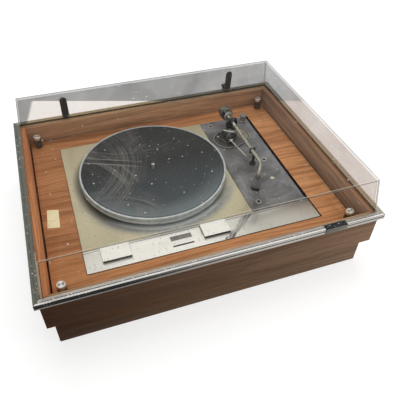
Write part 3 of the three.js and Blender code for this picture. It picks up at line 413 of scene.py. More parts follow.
@dataclass(frozen=True)
class Veneer:
    """Oiled veneer with straight grain: its top, the inner faces with painted light and shade, and the
    stained outside.
    """

    name: str
    grain: Grain
    light: Colour
    dark: Colour
    inner: Colour
    inner_dark: Colour
    # the outside's stain, with painted shade that is deepest at the left
    stain_shaded_left: Colour = srgb(72, 41, 18)
    stain_lit_right: Colour = srgb(166, 132, 106)
    stain_light_span: Flat = (-300.0, 330.0)
    far_light: Colour | None = None
    far_dark: Colour | None = None
    far_span: Flat = (-220.0, 160.0)
    polish: Flat = (0.42, 0.6)
    seed: float = 0.0
    lines: float = 300.0
    stray: float = 0.03
    figure: float = 0.25
    shine: float = 0.06
    wraps: bool = False

    def bare(self, mix: Mixer, share: Socket) -> Socket:
        """The oiled wood: level faces, and inner ones with painted light and shade, lighter where they look
        to the right.

        Args:
            mix: The material in the making.
            share: The figure, 0 where light and 1 where dark.

        Returns:
            The colour.
        """
        # painted light and shade: inner faces get their own colours, and the top's colours where they face
        # the right
        shaded = mix.blend(share, self.inner, self.inner_dark)
        sunny = mix.blend(share, self.light, self.dark)
        inner = mix.blend(mix.towards(Grain.X, 0.3, 0.8), shaded, sunny)
        far = mix.over(Grain.X, *self.far_span)
        light = mix.blend(far, self.light, self.far_light or self.light)
        dark = mix.blend(far, self.dark, self.far_dark or self.dark)
        return mix.blend(mix.towards(Grain.Z, 0.3, 0.6), inner, mix.blend(share, light, dark))

    def stained(self, mix: Mixer, share: Socket) -> Socket:
        """The stained outside with painted shade, darkest at the left and paler towards the right, and darker
        where share, the figure, is 1.
        """
        # painted shade and light across the outside: dark at the left, pale at the right
        stain_and_light = mix.blend(mix.over(Grain.X, *self.stain_light_span), self.stain_shaded_left, self.stain_lit_right)
        return mix.blend(mix.times(share, 0.32), stain_and_light, (0.0, 0.0, 0.0))

    def build(self) -> Material:
        """Makes the material. Where the grain wraps, it also runs along the faces that look left and right.

        Returns:
            The material.
        """
        mix = Mixer(self.name)
        place = mix.place
        if self.wraps:
            ends = mix.ranged(mix.size(mix.facing(Grain.X)), 0.6, 0.8)
            place = mix.blend(ends, place, mix.spread(turn=(0.0, 0.0, math.radians(90))))
        coarse = mix.spread(self.grain.stretch(3.0, 9.0), place)
        drift = mix.node("TexNoise", {"Vector": coarse, "Scale": 1.0}, "Color")
        bent = mix.node("VectorMath", {0: drift, "Scale": self.stray}, operation="SCALE")
        at = mix.vector("ADD", place, bent)
        shift = (self.seed, self.seed, self.seed)
        bands = mix.noise(self.grain.stretch(1.8, 62.0), 4.0, 0.6, at, shift=shift)
        lines = mix.noise(self.grain.stretch(5.0, self.lines), 3.0, 0.65, at, shift=shift)
        broad = mix.noise(self.grain.stretch(1.1, 14.0), 3.0, 0.5, at, shift=shift)
        fibres = mix.noise(self.grain.stretch(30.0, 1100.0), 2.0, at=at)
        figure = mix.plus(mix.times(bands, 0.5), mix.times(lines, 0.5))
        share = mix.ranged(figure, 0.42, 0.58)
        outer = mix.outwards()
        base = mix.blend(outer, self.bare(mix, share), self.stained(mix, share))
        streaks = mix.times(mix.ranged(bands, 0.56, 0.7), mix.ranged(outer, 0.0, 1.0, self.figure, 0.25))
        base = mix.blend(streaks, base, (0.42, 0.36, 0.3), "MULTIPLY")
        base = mix.blend(mix.ranged(broad, 0.35, 0.65, 0.0, 0.14), base, (0.6, 0.5, 0.4), "MULTIPLY")
        pores = mix.ranged(fibres, 0.56, 0.7, 0.0, 0.4)
        base = mix.blend(pores, base, (0.3, 0.3, 0.3), "MULTIPLY")
        mix.relief(mix.less(lines, pores), 0.12, 0.6)
        rough = mix.ranged(mix.plus(figure, pores), 0.4, 0.9, *self.polish)
        return mix.shade(Base_Color=base, Roughness=rough, Specular_IOR_Level=self.shine)


@dataclass(frozen=True)
class BrushedMetal:
    """Metal with fine lines along one axis, and smears where hands have been."""

    name: str
    grain: Grain
    colour: Colour
    worn: Colour
    metal: float = 0.85
    gloss: Flat = (0.25, 0.42)
    smear: float = 0.3
    lines: float = 1500.0

    def build(self) -> Material:
        """Makes the material.

        Returns:
            The material.
        """
        mix = Mixer(self.name)
        brushed = mix.noise(self.grain.stretch(12.0, self.lines), 2.0)
        smears = mix.noise((26.0, 40.0, 40.0), 5.0, 0.65, swirl=0.5)
        base = mix.blend(mix.ranged(smears, 0.45, 0.7, 0.0, self.smear), self.colour, self.worn)
        base = self.coloured(mix, base)
        mix.relief(brushed, 0.02, 0.5)
        rough = mix.ranged(mix.plus(brushed, smears), 0.75, 1.25, *self.gloss)
        return mix.shade(Base_Color=base, Metallic=self.metal, Roughness=rough)

    def coloured(self, mix: Mixer, base: Socket) -> Socket:
        """Adds dark spots to the smeared colour."""
        spots = mix.times(mix.specks(70.0, 0.12, 0.35), 0.5)
        return mix.blend(spots, base, (0.08, 0.075, 0.065))


@dataclass(frozen=True)
class PanelMetal(BrushedMetal):
    """The brushed control panel: brightest left of its middle, with a painted reflection streaked slantwise
    by a key.
    """

    dull: Colour = (0.5, 0.5, 0.45)
    dull_right: Flat = (-30.0, 120.0)
    dull_left: Flat = (-210.0, -150.0)
    # painted reflection: a dark streaked patch by the key
    reflection_at: Flat = (90.0, -140.0)
    reflection_slope: float = 1.18
    reflection_half: float = 8.0
    reflection_tear: float = 5.0
    reflection_colour: Colour = srgb(72, 71, 70)
    lip: float = -136.8

    def patch(self, mix: Mixer) -> Socket:
        """The mask of the painted reflection, a streaked patch torn at its sides and fainter at its middle.

        Args:
            mix: The material in the making.

        Returns:
            The mask.
        """
        x, y = self.reflection_at
        across = mix.less(mix.past(Grain.X, x), mix.times(mix.past(Grain.Y, y), self.reflection_slope))
        tear = self.reflection_tear * MM
        torn = mix.ranged(mix.noise((60.0, 90.0, 60.0), 3.0), 0.3, 0.7, -tear, tear)
        sides = mix.span(mix.size(mix.plus(across, torn)), self.reflection_half, self.reflection_half + 2, 1.0, 0.0)
        slant = mix.spread(turn=(0.0, 0.0, math.radians(-50)))
        streaks = mix.ranged(mix.noise((24.0, 300.0, 24.0), 3.0, 0.7, slant), 0.36, 0.6, 0.2, 1.0)
        return mix.times(sides, streaks, mix.span(mix.size(mix.past(Grain.Y, y - 22)), 6, 16, 0.55, 1.0))

    def coloured(self, mix: Mixer, base: Socket) -> Socket:
        """Adds the dull ends, the painted reflection, a painted shade line and a painted highlight at the
        lip, and the nicks.

        Args:
            mix: The material in the making.
            base: The smeared colour.

        Returns:
            The colour.
        """
        base = mix.blend(mix.over(Grain.X, *self.dull_right, 0.0, 1.0, True), base, self.dull)
        base = mix.blend(mix.over(Grain.X, *self.dull_left, 0.4, 0.0, True), base, self.dull)
        # painted reflection: the dark streaked patch by the key
        base = mix.blend(self.patch(mix), base, self.reflection_colour)
        # a painted shade line and a painted highlight along the panel's back edge
        line = mix.within(Grain.Y, self.lip - 3.9, self.lip - 2.5, 0.15)
        base = mix.blend(mix.times(line, 0.75), base, (0.08, 0.08, 0.075))
        bright = mix.within(Grain.Y, self.lip - 2.4, self.lip + 1.0, 0.15)
        base = mix.blend(mix.times(bright, 0.8), base, (0.95, 0.95, 0.93))
        nicks = mix.times(mix.specks(90.0, 0.09, 0.4), 0.7)
        return mix.blend(nicks, base, (0.05, 0.05, 0.05))


@dataclass(frozen=True)
class RailMetal(BrushedMetal):
    """The rail's metal, of another shade at its far side, with a painted dark reflection on the faces that
    look forwards.

    Each strip of the top has its nearer and farther inset from the rail's outline, in millimetres, and its
    colours at the left and at the right.
    """

    other: Colour = (0.15, 0.15, 0.13)
    switch: Grain = Grain.Y
    # the painted dark reflection's colour, also used as painted shade in the groove
    reflection_and_shade: Colour = (0.010, 0.010, 0.009)
    reflection_span: Flat = (-200.0, 120.0)
    foot: Flat = (130.2, 131.2)
    groove_shade: Flat = (132.6, 134.6)
    striped: bool = False
    left_end: Flat = (-240.0, 0.0)
    # the bright outer strip is a painted highlight; the dark strips are painted shade in the groove and on
    # the outer edge
    strips: tuple = (
        (0.9, 4.2, srgb(226, 224, 218), srgb(248, 247, 243)),
        (8.8, 11.0, srgb(200, 196, 186), srgb(178, 172, 174)),
        (4.2, 5.8, srgb(52, 50, 48), srgb(44, 42, 40)),
        (-1.0, 0.6, srgb(40, 38, 36), srgb(70, 66, 60)),
    )

    def stripes(self, mix: Mixer, base: Socket) -> Socket:
        """Lays the top's lines: a painted highlight on the outer strip, painted shade in the groove and on
        the outer edge, and a greyer inner strip.

        Args:
            mix: The material in the making.
            base: The plain colour.

        Returns:
            The colour.
        """
        inset = mix.less(HALF[1] * MM, mix.size(mix.past(Grain.Y, MIDDLE_Y)))
        top = mix.times(mix.towards(Grain.Z, 0.5, 0.8), 0.9)
        right = mix.over(Grain.X, *self.left_end)
        for low, high, at_left, at_right in self.strips:
            strip = mix.band(inset, (low - 0.2, low + 0.2), (high - 0.2, high + 0.2))
            base = mix.blend(mix.times(strip, top), base, mix.blend(right, at_left, at_right))
        return base

    def coloured(self, mix: Mixer, base: Socket) -> Socket:
        """Adds the dull side, long marks, a painted dark reflection, painted shade in the groove and pale
        dust.

        Args:
            mix: The material in the making.
            base: The smeared colour.

        Returns:
            The colour.
        """
        base = mix.blend(mix.over(self.switch, -20, 20), base, self.other)
        marks = mix.noise(self.grain.stretch(9.0, 520.0), 4.0, 0.7)
        base = mix.blend(mix.ranged(marks, 0.48, 0.62, 0.0, 0.35), base, (0.5, 0.5, 0.5), "MULTIPLY")
        if self.striped:
            base = mix.blend(mix.over(Grain.Y, -20, 20), self.stripes(mix, base), self.other)
        # painted dark reflection on the forward faces, strongest at the left, and painted shade in the groove
        forward = mix.towards(Grain.Y, -0.9, -0.5, 1.0, 0.0)
        fade = mix.over(Grain.X, *self.reflection_span, 1.0, 0.0, True)
        foot = mix.over(Grain.Z, *self.foot, 0.62, 1.0)
        base = mix.blend(mix.times(forward, fade, foot), base, self.reflection_and_shade)
        groove_shade = mix.times(forward, mix.within(Grain.Z, *self.groove_shade, 0.2), 0.9)
        base = mix.blend(groove_shade, base, self.reflection_and_shade)
        dust = mix.times(mix.specks(190.0, 0.22, 0.3), mix.towards(Grain.Z, 0.5, 0.8, 0.0, 0.9))
        return mix.blend(dust, base, (0.85, 0.84, 0.8))


@dataclass(frozen=True)
class KeyMetal(BrushedMetal):
    """A key's brushed top, with painted shade that makes its sides nearly black."""

    # painted shade on the sides
    side: Colour = (0.07, 0.07, 0.066)

    def coloured(self, mix: Mixer, base: Socket) -> Socket:
        """Adds spots and the painted shade on the sides.

        Args:
            mix: The material in the making.
            base: The smeared colour.

        Returns:
            The colour.
        """
        spots = mix.times(mix.specks(110.0, 0.12, 0.3), 0.6)
        base = mix.blend(spots, base, (0.08, 0.08, 0.07))
        # painted shade on the sides
        return mix.blend(mix.towards(Grain.Z, 0.25, 0.7, 1.0, 0.0), base, self.side)


@dataclass(frozen=True)
class TurnedMetal:
    """Machined metal with fine rings round its own axis."""

    name: str
    centre: Point
    axis: Grain
    colour: Colour
    worn: Colour
    metal: float = 0.95
    gloss: Flat = (0.16, 0.32)
    rings: float = 900.0

    def build(self) -> Material:
        """Makes the material.

        Returns:
            The material.
        """
        mix = Mixer(self.name)
        both = mix.joined(mix.distance(self.centre, self.axis), mix.along(self.axis))
        rings = mix.noise((self.rings, self.rings, 1.0), 2.0, at=both)
        marks = mix.noise(60.0, 4.0, 0.65)
        base = mix.blend(mix.ranged(marks, 0.42, 0.7), self.colour, self.worn)
        mix.relief(rings, 0.02, 0.5)
        rough = mix.ranged(mix.plus(rings, marks), 0.75, 1.25, *self.gloss)
        return mix.shade(Base_Color=base, Metallic=self.metal, Roughness=rough)


@dataclass(frozen=True)
class CapMetal:
    """The knobs' turned caps, with a painted reflection: a bright rim, and dark sectors on either side."""

    name: str
    # the painted reflection's bright and dark colours
    bright: Colour
    dark: Colour

    def build(self) -> Material:
        """Makes the material, whose painted reflection is folded so that all four caps share it.

        Returns:
            The material.
        """
        mix = Mixer(self.name)
        x, y = KNOB
        across = mix.less(mix.size(mix.along(Grain.X)), x * MM)
        along = mix.less(mix.size(mix.past(Grain.Y, MIDDLE_Y)), y * MM)
        squared = mix.times(across, across)
        both = mix.most(mix.plus(squared, mix.times(along, along)), 1e-9)
        sector = mix.ranged(mix.maths("DIVIDE", squared, both), 0.25, 0.7, 0.0, 1.0, True)
        radius = mix.maths("SQRT", both)
        inside = mix.span(radius, CAP_RADIUS - 2.4, CAP_RADIUS - 1.6, 1.0, 0.0)
        rings = mix.noise((1500.0, 1.0, 1.0), 2.0, at=mix.joined(radius))
        marks = mix.noise(200.0, 3.0)
        cloudy = mix.ranged(marks, 0.3, 0.6, 0.6, 1.0)
        mask = mix.times(sector, inside, mix.towards(Grain.Z, 0.5, 0.9), cloudy)
        mix.relief(rings, 0.02, 0.5)
        rough = mix.ranged(mix.plus(rings, marks), 0.75, 1.25, 0.14, 0.3)
        # painted reflection: dark sectors inside a bright rim
        base = mix.blend(mask, self.bright, self.dark)
        return mix.shade(Base_Color=base, Metallic=0.8, Roughness=rough)


@dataclass(frozen=True)
class SleevePlastic:
    """The rail sleeve: glossy black on top, grey where it looks forwards."""

    name: str
    top: Colour
    front: Colour

    def build(self) -> Material:
        """Makes the material.

        Returns:
            The material.
        """
        mix = Mixer(self.name)
        cloud = mix.noise((60.0, 200.0, 200.0), 4.0, 0.6)
        base = mix.blend(mix.towards(Grain.Y, -0.9, -0.4, 1.0, 0.0), self.top, self.front)
        base = mix.blend(mix.ranged(cloud, 0.45, 0.7, 0.0, 0.4), base, (0.5, 0.5, 0.5), "MULTIPLY")
        base = mix.blend(mix.specks(230.0, 0.2, 0.4), base, (0.8, 0.8, 0.78))
        mix.relief(cloud, 0.03, 0.5)
        rough = mix.ranged(cloud, 0.3, 0.7, 0.2, 0.4)
        return mix.shade(Base_Color=base, Roughness=rough, Specular_IOR_Level=0.25)


@dataclass(frozen=True)
class DeckPaint:
    """Champagne satin deck: painted shadow and reflection before the platter, painted light by its rim,
    painted shadow left.
    """

    name: str
    colour: Colour
    worn: Colour
    well: float = 154.0
    # painted shadow and reflection of the platter, before it
    front_shadow_reach: Flat = (163.0, 180.0)
    front_shadow_from: Flat = (30.0, 120.0)
    # painted shadow at the platter's left
    left_shadow_wide: float = 17.0
    left_shadow_from: Flat = (60.0, 130.0)
    # painted light close to the rim at the front
    painted_light: Flat = (3.0, 8.0)
    painted_light_front: Flat = (105.0, 140.0)

    def before(self, mix: Mixer, axis: Grain, stretch: Flat) -> Socket:
        """0 up to a distance before the platter's middle along an axis, and 1 from a longer one on."""
        middle = PLATTER[axis.value]
        return mix.over(axis, middle - stretch[0], middle - stretch[1])

    def build(self) -> Material:
        """Makes the material.

        Returns:
            The material.
        """
        mix = Mixer(self.name)
        away = mix.distance(PLATTER)
        past = mix.less(away, self.well * MM)
        pale = mix.noise((9.0, 14.0, 9.0), 4.0, 0.6, swirl=0.5)
        fine = mix.noise(1400.0, 2.0)
        base = mix.blend(mix.ranged(pale, 0.35, 0.7), self.colour, self.worn)
        # painted shadow and reflection of the platter on the plate before it, with a ragged edge
        ring = mix.span(away, *self.front_shadow_reach, 1.0, 0.0, True)
        ragged_edge = mix.ranged(mix.noise(150.0, 4.0, 0.75), 0.42, 0.55, 0.7, 1.0)
        front_shadow = mix.times(ring, self.before(mix, Grain.Y, self.front_shadow_from), ragged_edge)
        base = mix.blend(front_shadow, base, srgb(146, 148, 145))
        # painted shadow of the platter at its left
        shade = mix.span(past, 0, self.left_shadow_wide, 0.75, 0.0, True)
        shade = mix.times(shade, self.before(mix, Grain.X, self.left_shadow_from))
        base = mix.blend(shade, base, srgb(66, 66, 60))
        # painted light that brightens the plate's shade close to the rim at the front
        painted_light = mix.span(past, *self.painted_light, 0.7, 0.0, True)
        painted_light = mix.times(painted_light, self.before(mix, Grain.Y, self.painted_light_front))
        base = mix.blend(painted_light, base, (0.76, 0.79, 0.78))
        scratch = mix.noise((16.0, 420.0, 16.0), 2.0, 0.7, mix.spread(turn=(0.0, 0.0, 0.5)))
        base = mix.blend(mix.ranged(scratch, 0.64, 0.7, 0.0, 0.3), base, srgb(120, 112, 88))
        dots = mix.times(mix.specks(45.0, 0.05, 0.4), 0.8)
        base = mix.blend(dots, base, (0.8, 0.78, 0.7))
        mix.relief(fine, 0.02, 0.6)
        rough = mix.ranged(mix.plus(pale, fine), 0.8, 1.3, 0.3, 0.46)
        return mix.shade(Base_Color=base, Metallic=0.35, Roughness=rough)


@dataclass(frozen=True)
class MatRubber:
    """Black rubber of the mat, greyer towards the front, with wiped arcs of dust across it.

    Each arc has its centre, radius, width and strength, and each straight stroke its two edges where it
    crosses the middle, its colour and its strength, with all lengths in millimetres.
    """

    name: str
    arcs: tuple = (
        (-250, 90, 150, 40, 0.8), (-330, -60, 230, 52, 0.7), (-120, 190, 90, 34, 0.75),
        (-170, -150, 120, 34, 0.6), (-330, 130, 260, 30, 0.6), (-60, 260, 180, 40, 0.45),
    )
    strokes: tuple = (
        (12, 26, srgb(30, 30, 30), 0.6),
        (26, 28, srgb(140, 138, 132), 0.6),
        (9, 12, srgb(150, 147, 141), 0.55),
    )
    stroke_slope: float = 0.43
    stroke_end: Flat = (-110.0, -60.0)
    grey_front: Flat = (50.0, -100.0)
    rim_reach: Flat = (100.0, 144.0)
    rim_front: Flat = (0.0, -90.0)

    def dusted(self, mix: Mixer, base: Socket) -> Socket:
        """Lays the arcs of dust.

        Args:
            mix: The material in the making.
            base: The plain colour.

        Returns:
            The colour.
        """
        for x, y, radius, width, strength in self.arcs:
            far = mix.distance((x, y, 0.0))
            lines = mix.noise((150.0, 1.0, 1.0), 4.0, 0.75, mix.joined(far, 0.1 * width))
            arc = mix.band(far, (radius - width, radius), (radius, radius + width), True)
            patch = mix.ranged(mix.noise(11.0, 3.0, shift=(x * 0.1, y * 0.1, 0)), 0.42, 0.56)
            streak = mix.ranged(lines, 0.46, 0.62, 0, strength)
            base = mix.blend(mix.times(arc, patch, streak), base, srgb(136, 133, 126))
        return base

    def wiped(self, mix: Mixer, base: Socket) -> Socket:
        """Lays the straight strokes at the left.

        Args:
            mix: The material in the making.
            base: The dusted colour.

        Returns:
            The colour.
        """
        slanted = mix.plus(mix.along(Grain.Y), mix.times(mix.along(Grain.X), self.stroke_slope))
        for low, high, colour, strength in self.strokes:
            stroke = mix.band(slanted, (low - 1, low), (high, high + 1))
            reach = mix.over(Grain.X, *self.stroke_end, strength, 0.0)
            base = mix.blend(mix.times(stroke, reach), base, colour)
        return base

    def build(self) -> Material:
        """Makes the material.

        Returns:
            The material.
        """
        mix = Mixer(self.name)
        haze = mix.noise(6.0, 4.0, 0.6, swirl=0.8)
        base = mix.blend(mix.ranged(haze, 0.3, 0.75), srgb(28, 29, 29), srgb(52, 52, 50))
        base = mix.blend(mix.over(Grain.Y, *self.grey_front, 0.0, 0.9), base, srgb(72, 81, 84))
        rim = mix.span(mix.distance(PLATTER), *self.rim_reach, 0.0, 0.6, True)
        base = mix.blend(mix.times(rim, mix.over(Grain.Y, *self.rim_front)), base, srgb(134, 141, 140))
        base = self.wiped(mix, self.dusted(mix, base))
        fine = mix.noise(700.0, 3.0, 0.7)
        base = mix.blend(mix.ranged(fine, 0.5, 0.8, 0.0, 0.3), base, srgb(96, 95, 92))
        base = mix.blend(mix.specks(48.0, 0.045, 0.7), base, srgb(200, 199, 193))
        mix.relief(fine, 0.05, 0.5)
        rough = mix.ranged(haze, 0.3, 0.7, 0.42, 0.66)
        return mix.shade(Base_Color=base, Roughness=rough, Specular_IOR_Level=0.3)


@dataclass(frozen=True)
class ArmboardPaint:
    """Crinkled grey paint of the arm board, scuffed, with painted bluish sheen at its right and back, painted
    shade on its sides.
    """

    name: str
    colour: Colour
    worn: Colour
    # the painted sheen's colour
    painted_sheen: Colour
    right: Flat = (165.0, 222.0)
    back: Flat = (120.0, 178.0)

    def build(self) -> Material:
        """Makes the material.

        Returns:
            The material.
        """
        mix = Mixer(self.name)
        cloud = mix.noise(16.0, 5.0, 0.65, swirl=0.7)
        crinkle = mix.node("TexVoronoi", {"Vector": mix.spread(1500.0), "Scale": 1.0})
        base = mix.blend(mix.ranged(cloud, 0.38, 0.66), self.colour, self.worn)
        streak = mix.ranged(mix.noise((60.0, 12.0, 60.0), 4.0, 0.7), 0.4, 0.62, 0.1, 1.0)
        # painted sheen: a bluish highlight along the right and back
        sheen_area = mix.most(mix.over(Grain.X, *self.right), mix.over(Grain.Y, *self.back))
        sheen_mask = mix.times(sheen_area, streak, 0.55)
        base = mix.blend(sheen_mask, base, self.painted_sheen)
        scuff = mix.noise((120.0, 40.0, 60.0), 4.0, 0.75, shift=(3.0, 1.0, 0.0))
        base = mix.blend(mix.ranged(scuff, 0.6, 0.74, 0.0, 0.6), base, srgb(150, 150, 148))
        base = mix.blend(mix.specks(60.0, 0.08, 0.35), base, srgb(205, 202, 194))
        # painted shade: the side faces nearly black
        base = mix.blend(mix.towards(Grain.Z, 0.2, 0.6, 1.0, 0.0), base, (0.01, 0.01, 0.01))
        mix.relief(crinkle, 0.06, 0.7)
        rough = mix.ranged(cloud, 0.3, 0.7, 0.36, 0.6)
        return mix.shade(Base_Color=base, Metallic=0.1, Roughness=rough, Specular_IOR_Level=0.3)


@dataclass(frozen=True)
class BedplateMetal:
    """The bedplate: grey, with a painted highlight on its rim, painted shade for curved slots round the
    pillar, and a tan lobe on the right.
    """

    name: str
    centre: Point = (155.75, 101.0, 0.0)
    half: float = 33.0
    reach: float = 12.0
    turn: float = 20.0
    lobe: Flat = (12.0, 17.0)
    slots: tuple = ((17.5, 21.0), (26.0, 28.5))
    hole: Flat = (27.0, 6.0)

    def build(self) -> Material:
        """Makes the material.

        Returns:
            The material.
        """
        mix = Mixer(self.name)
        marks = mix.noise(120.0, 4.0, 0.65)
        base = mix.blend(mix.ranged(marks, 0.36, 0.66), srgb(96, 96, 91), srgb(58, 58, 55))
        away = mix.vector("SUBTRACT", mix.place, metres(self.centre))
        own = mix.spread(at=away, turn=(0.0, 0.0, math.radians(-self.turn)))
        along, across = (mix.node("SeparateXYZ", {0: own}, i) for i in (0, 1))
        beyond = mix.most(mix.less(mix.size(along), self.reach * MM), 0.0)
        edge = mix.vector("LENGTH", mix.joined(beyond, across), output=1)
        tan = mix.times(mix.span(along, *self.lobe), mix.ranged(marks, 0.35, 0.6, 0.4, 1.0))
        base = mix.blend(tan, base, srgb(166, 160, 140))
        # a painted highlight on the rim, and a dark line inside it
        for low, high, colour, strength in (
            (self.half - 2.4, self.half + 1, srgb(166, 165, 156), 0.6),
            (self.half - 4.4, self.half - 2.6, srgb(34, 34, 32), 0.8),
        ):
            ring = mix.band(edge, (low - 0.3, low + 0.3), (high, high + 0.5))
            base = mix.blend(mix.times(ring, strength), base, colour)
        # painted shade standing for the curved slots
        left = mix.times(mix.span(along, 4, -4), 0.9)
        far = mix.distance(PIVOT)
        for low, high in self.slots:
            slot = mix.band(far, (low, low + 0.6), (high, high + 0.6))
            base = mix.blend(mix.times(slot, left), base, srgb(26, 26, 25))
        # painted shade standing for a hole
        hole = mix.distance((self.centre[0] + self.hole[0], self.centre[1] + self.hole[1], 0.0))
        base = mix.blend(mix.span(hole, 4.0, 4.8, 0.85, 0.0), base, srgb(44, 43, 40))
        mix.relief(marks, 0.03, 0.6)
        rough = mix.ranged(marks, 0.3, 0.7, 0.28, 0.46)
        return mix.shade(Base_Color=base, Metallic=0.5, Roughness=rough)


@dataclass(frozen=True)
class ClearSheet:
    """Clear acrylic with a thin film, cream low on the right and back walls, painted highlight and shade
    lines at its edges, and dust.

    The films are opacities: of the top, and of the front, back, left and right walls above and below a
    slanting plane. The plane is given by its normal and its distance from the origin, in metres.
    """

    name: str
    film: Colour
    cream: Colour = (0.8, 0.5, 0.22)
    pale: Colour = (1.0, 0.54, 0.02)
    top_film: float = 0.05
    films: tuple = (0.03, 0.45, 0.2, 0.4)
    low_films: tuple = (0.03, 0.15, 0.2, 0.31)
    plane: Point = (0.1594, 0.5098, 0.8718)
    plane_far: float = 0.2455
    cream_from: Flat = (-283.0, -277.0)
    cream_foot: float = 140.0
    cream_lean: float = 0.4
    strap_half: float = 7.2
    front_edge: Flat = (-215.0, -212.0)
    dusty_from: Flat = (155.0, 165.0)

    def low(self, mix: Mixer) -> Socket:
        """1 on the lower part of the sheet, apart from its left end and the places of the hinge straps.

        Args:
            mix: The material in the making.

        Returns:
            The mask.
        """
        height = mix.vector("DOT_PRODUCT", mix.place, self.plane, 1)
        below = mix.ranged(height, self.plane_far - 0.8 * MM, self.plane_far + 0.8 * MM, 1.0, 0.0)
        climb = mix.times(mix.past(Grain.Z, self.cream_foot), self.cream_lean)
        start = mix.less(mix.along(Grain.X), climb)
        from_strap = mix.size(mix.less(mix.size(mix.along(Grain.X)), STRAP_X * MM))
        beside = mix.span(from_strap, self.strap_half, self.strap_half + 1)
        return mix.times(below, beside, mix.span(start, *self.cream_from))

    def walls(self, mix: Mixer) -> list[Socket]:
        """One mask to each wall: front, back, left and right.

        Args:
            mix: The material in the making.

        Returns:
            The masks.
        """
        masks = []
        for axis in (Grain.Y, Grain.X):
            upright = mix.ranged(mix.size(mix.facing(axis)), 0.5, 0.8)
            for ends in ((1.0, 0.0), (0.0, 1.0)):
                masks.append(mix.times(upright, mix.over(axis, -100, 100, *ends)))
        return masks

    def corner(self, mix: Mixer, wide: float) -> Socket:
        """1 within a distance of the upright corners, which lean inwards.

        Args:
            mix: The material in the making.
            wide: The distance in millimetres.

        Returns:
            The mask.
        """
        inset = mix.over(Grain.Z, *COVER_HEIGHTS, *metres(COVER_INSETS))
        x = mix.plus(mix.size(mix.along(Grain.X)), inset)
        y = mix.plus(mix.size(mix.past(Grain.Y, MIDDLE_Y)), inset)
        both = mix.maths("MINIMUM", mix.less(x, HALF[0] * MM), mix.less(y, HALF[1] * MM))
        return mix.span(both, -(wide + 0.3), -(wide - 0.3))

    def rim(self, mix: Mixer, wide: float) -> Socket:
        """1 within a distance of the top face's edges.

        Args:
            mix: The material in the making.
            wide: The distance in millimetres.

        Returns:
            The mask.
        """
        x = mix.less(mix.size(mix.along(Grain.X)), (HALF[0] - COVER_INSETS[1]) * MM)
        y = mix.less(mix.size(mix.past(Grain.Y, MIDDLE_Y)), (HALF[1] - COVER_INSETS[1]) * MM)
        return mix.span(mix.most(x, y), -(wide + 0.3), -(wide - 0.3))

    def edges(self, mix: Mixer, lying: Socket, front: Socket) -> list[tuple[Socket, float, Colour]]:
        """The painted highlight and painted shade lines where the sheet bends or ends, and a dark band along
        the foot.

        Args:
            mix: The material in the making.
            lying: 1 on level faces.
            front: 1 on the front wall.

        Returns:
            Each line's mask, opacity and colour.
        """
        low, high = COVER_HEIGHTS
        dark = srgb(84, 78, 66)
        upright = mix.less(1.0, lying)
        crown = mix.times(upright, mix.over(Grain.Z, high - 2.6, high - 2.0))
        edge = mix.times(mix.over(Grain.Z, high - 2.8, high - 2.4), self.rim(mix, 2.0))
        near = mix.over(Grain.Y, *self.front_edge, 1.0, 0.0)
        wide, narrow = self.corner(mix, 5.0), self.corner(mix, 3.8)
        foot = mix.times(upright, mix.over(Grain.Z, low + 3.3, low + 3.9, 1.0, 0.0), mix.less(1.0, front))
        # cream lines are painted highlights and dark lines painted shade at the edges and corners; the last
        # is the foot's dark band
        return [
            (mix.times(edge, near), 0.4, srgb(220, 212, 192)),
            (crown, 0.6, dark),
            (mix.times(upright, narrow), 0.5, srgb(224, 212, 186)),
            (mix.times(upright, mix.less(wide, narrow)), 0.65, dark),
            (mix.times(edge, mix.less(1.0, near)), 0.7, srgb(92, 88, 76)),
            (foot, 0.8, srgb(54, 53, 46)),
        ]

    def dust(self, mix: Mixer, lying: Socket, walls: list[Socket]) -> Socket:
        """Dots and grit on the outside of the sheet.

        Args:
            mix: The material in the making.
            lying: 1 on level faces.
            walls: The walls' masks.

        Returns:
            How much dust shows.
        """
        high = COVER_HEIGHTS[1]
        top = mix.times(lying, mix.over(Grain.Z, high - 1.5, high - 1.0))
        above = mix.times(mix.outwards(), mix.over(Grain.Z, *self.dusty_from))
        ends = mix.times(mix.most(walls[0], walls[1]), above)
        sides = mix.times(mix.most(walls[2], walls[3]), above)
        total = 0.0
        for mask, *plane in ((top, Grain.X, Grain.Y), (ends, Grain.X, Grain.Z), (sides, Grain.Y, Grain.Z)):
            dots = mix.times(mix.specks(33.0, 0.046, 0.75, plane), 0.85)
            grit = mix.times(mix.specks(110.0, 0.12, 0.3, plane), 0.4)
            total = mix.most(total, mix.times(mix.most(dots, grit), mask))
        return total

    def build(self) -> Material:
        """Makes the material.

        Returns:
            The material.
        """
        mix = Mixer(self.name)
        lying = mix.ranged(mix.size(mix.facing(Grain.Z)), 0.6, 0.9)
        walls, thin = self.walls(mix), self.low(mix)
        cloud = mix.noise(7.0, 4.0, 0.6, swirl=0.8)
        film = mix.times(lying, self.top_film)
        for mask, above, below in zip(walls, self.films, self.low_films):
            film = mix.plus(film, mix.times(mask, mix.ranged(thin, 0.0, 1.0, above, below)))
        hair = mix.ranged(mix.noise((620.0, 7.0, 620.0), 2.0, swirl=0.2), 0.7, 0.76, 0.0, 0.05)
        alpha = mix.plus(mix.times(film, mix.ranged(cloud, 0.3, 0.7, 0.85, 1.12)), hair)
        base = mix.blend(mix.times(walls[3], thin), self.film, self.cream)
        base = mix.blend(mix.times(walls[1], thin), base, self.pale)
        for mask, strength, colour in self.edges(mix, lying, walls[0]):
            alpha = mix.most(alpha, mix.times(mask, strength))
            base = mix.blend(mask, base, colour)
        dust = self.dust(mix, lying, walls)
        base = mix.blend(dust, base, (0.85, 0.84, 0.8))
        rough = mix.ranged(cloud, 0.3, 0.7, 0.05, 0.16)
        alpha = mix.most(alpha, dust)
        return mix.shade(Base_Color=base, Alpha=alpha, Roughness=rough, IOR=1.49, Specular_IOR_Level=0.4)


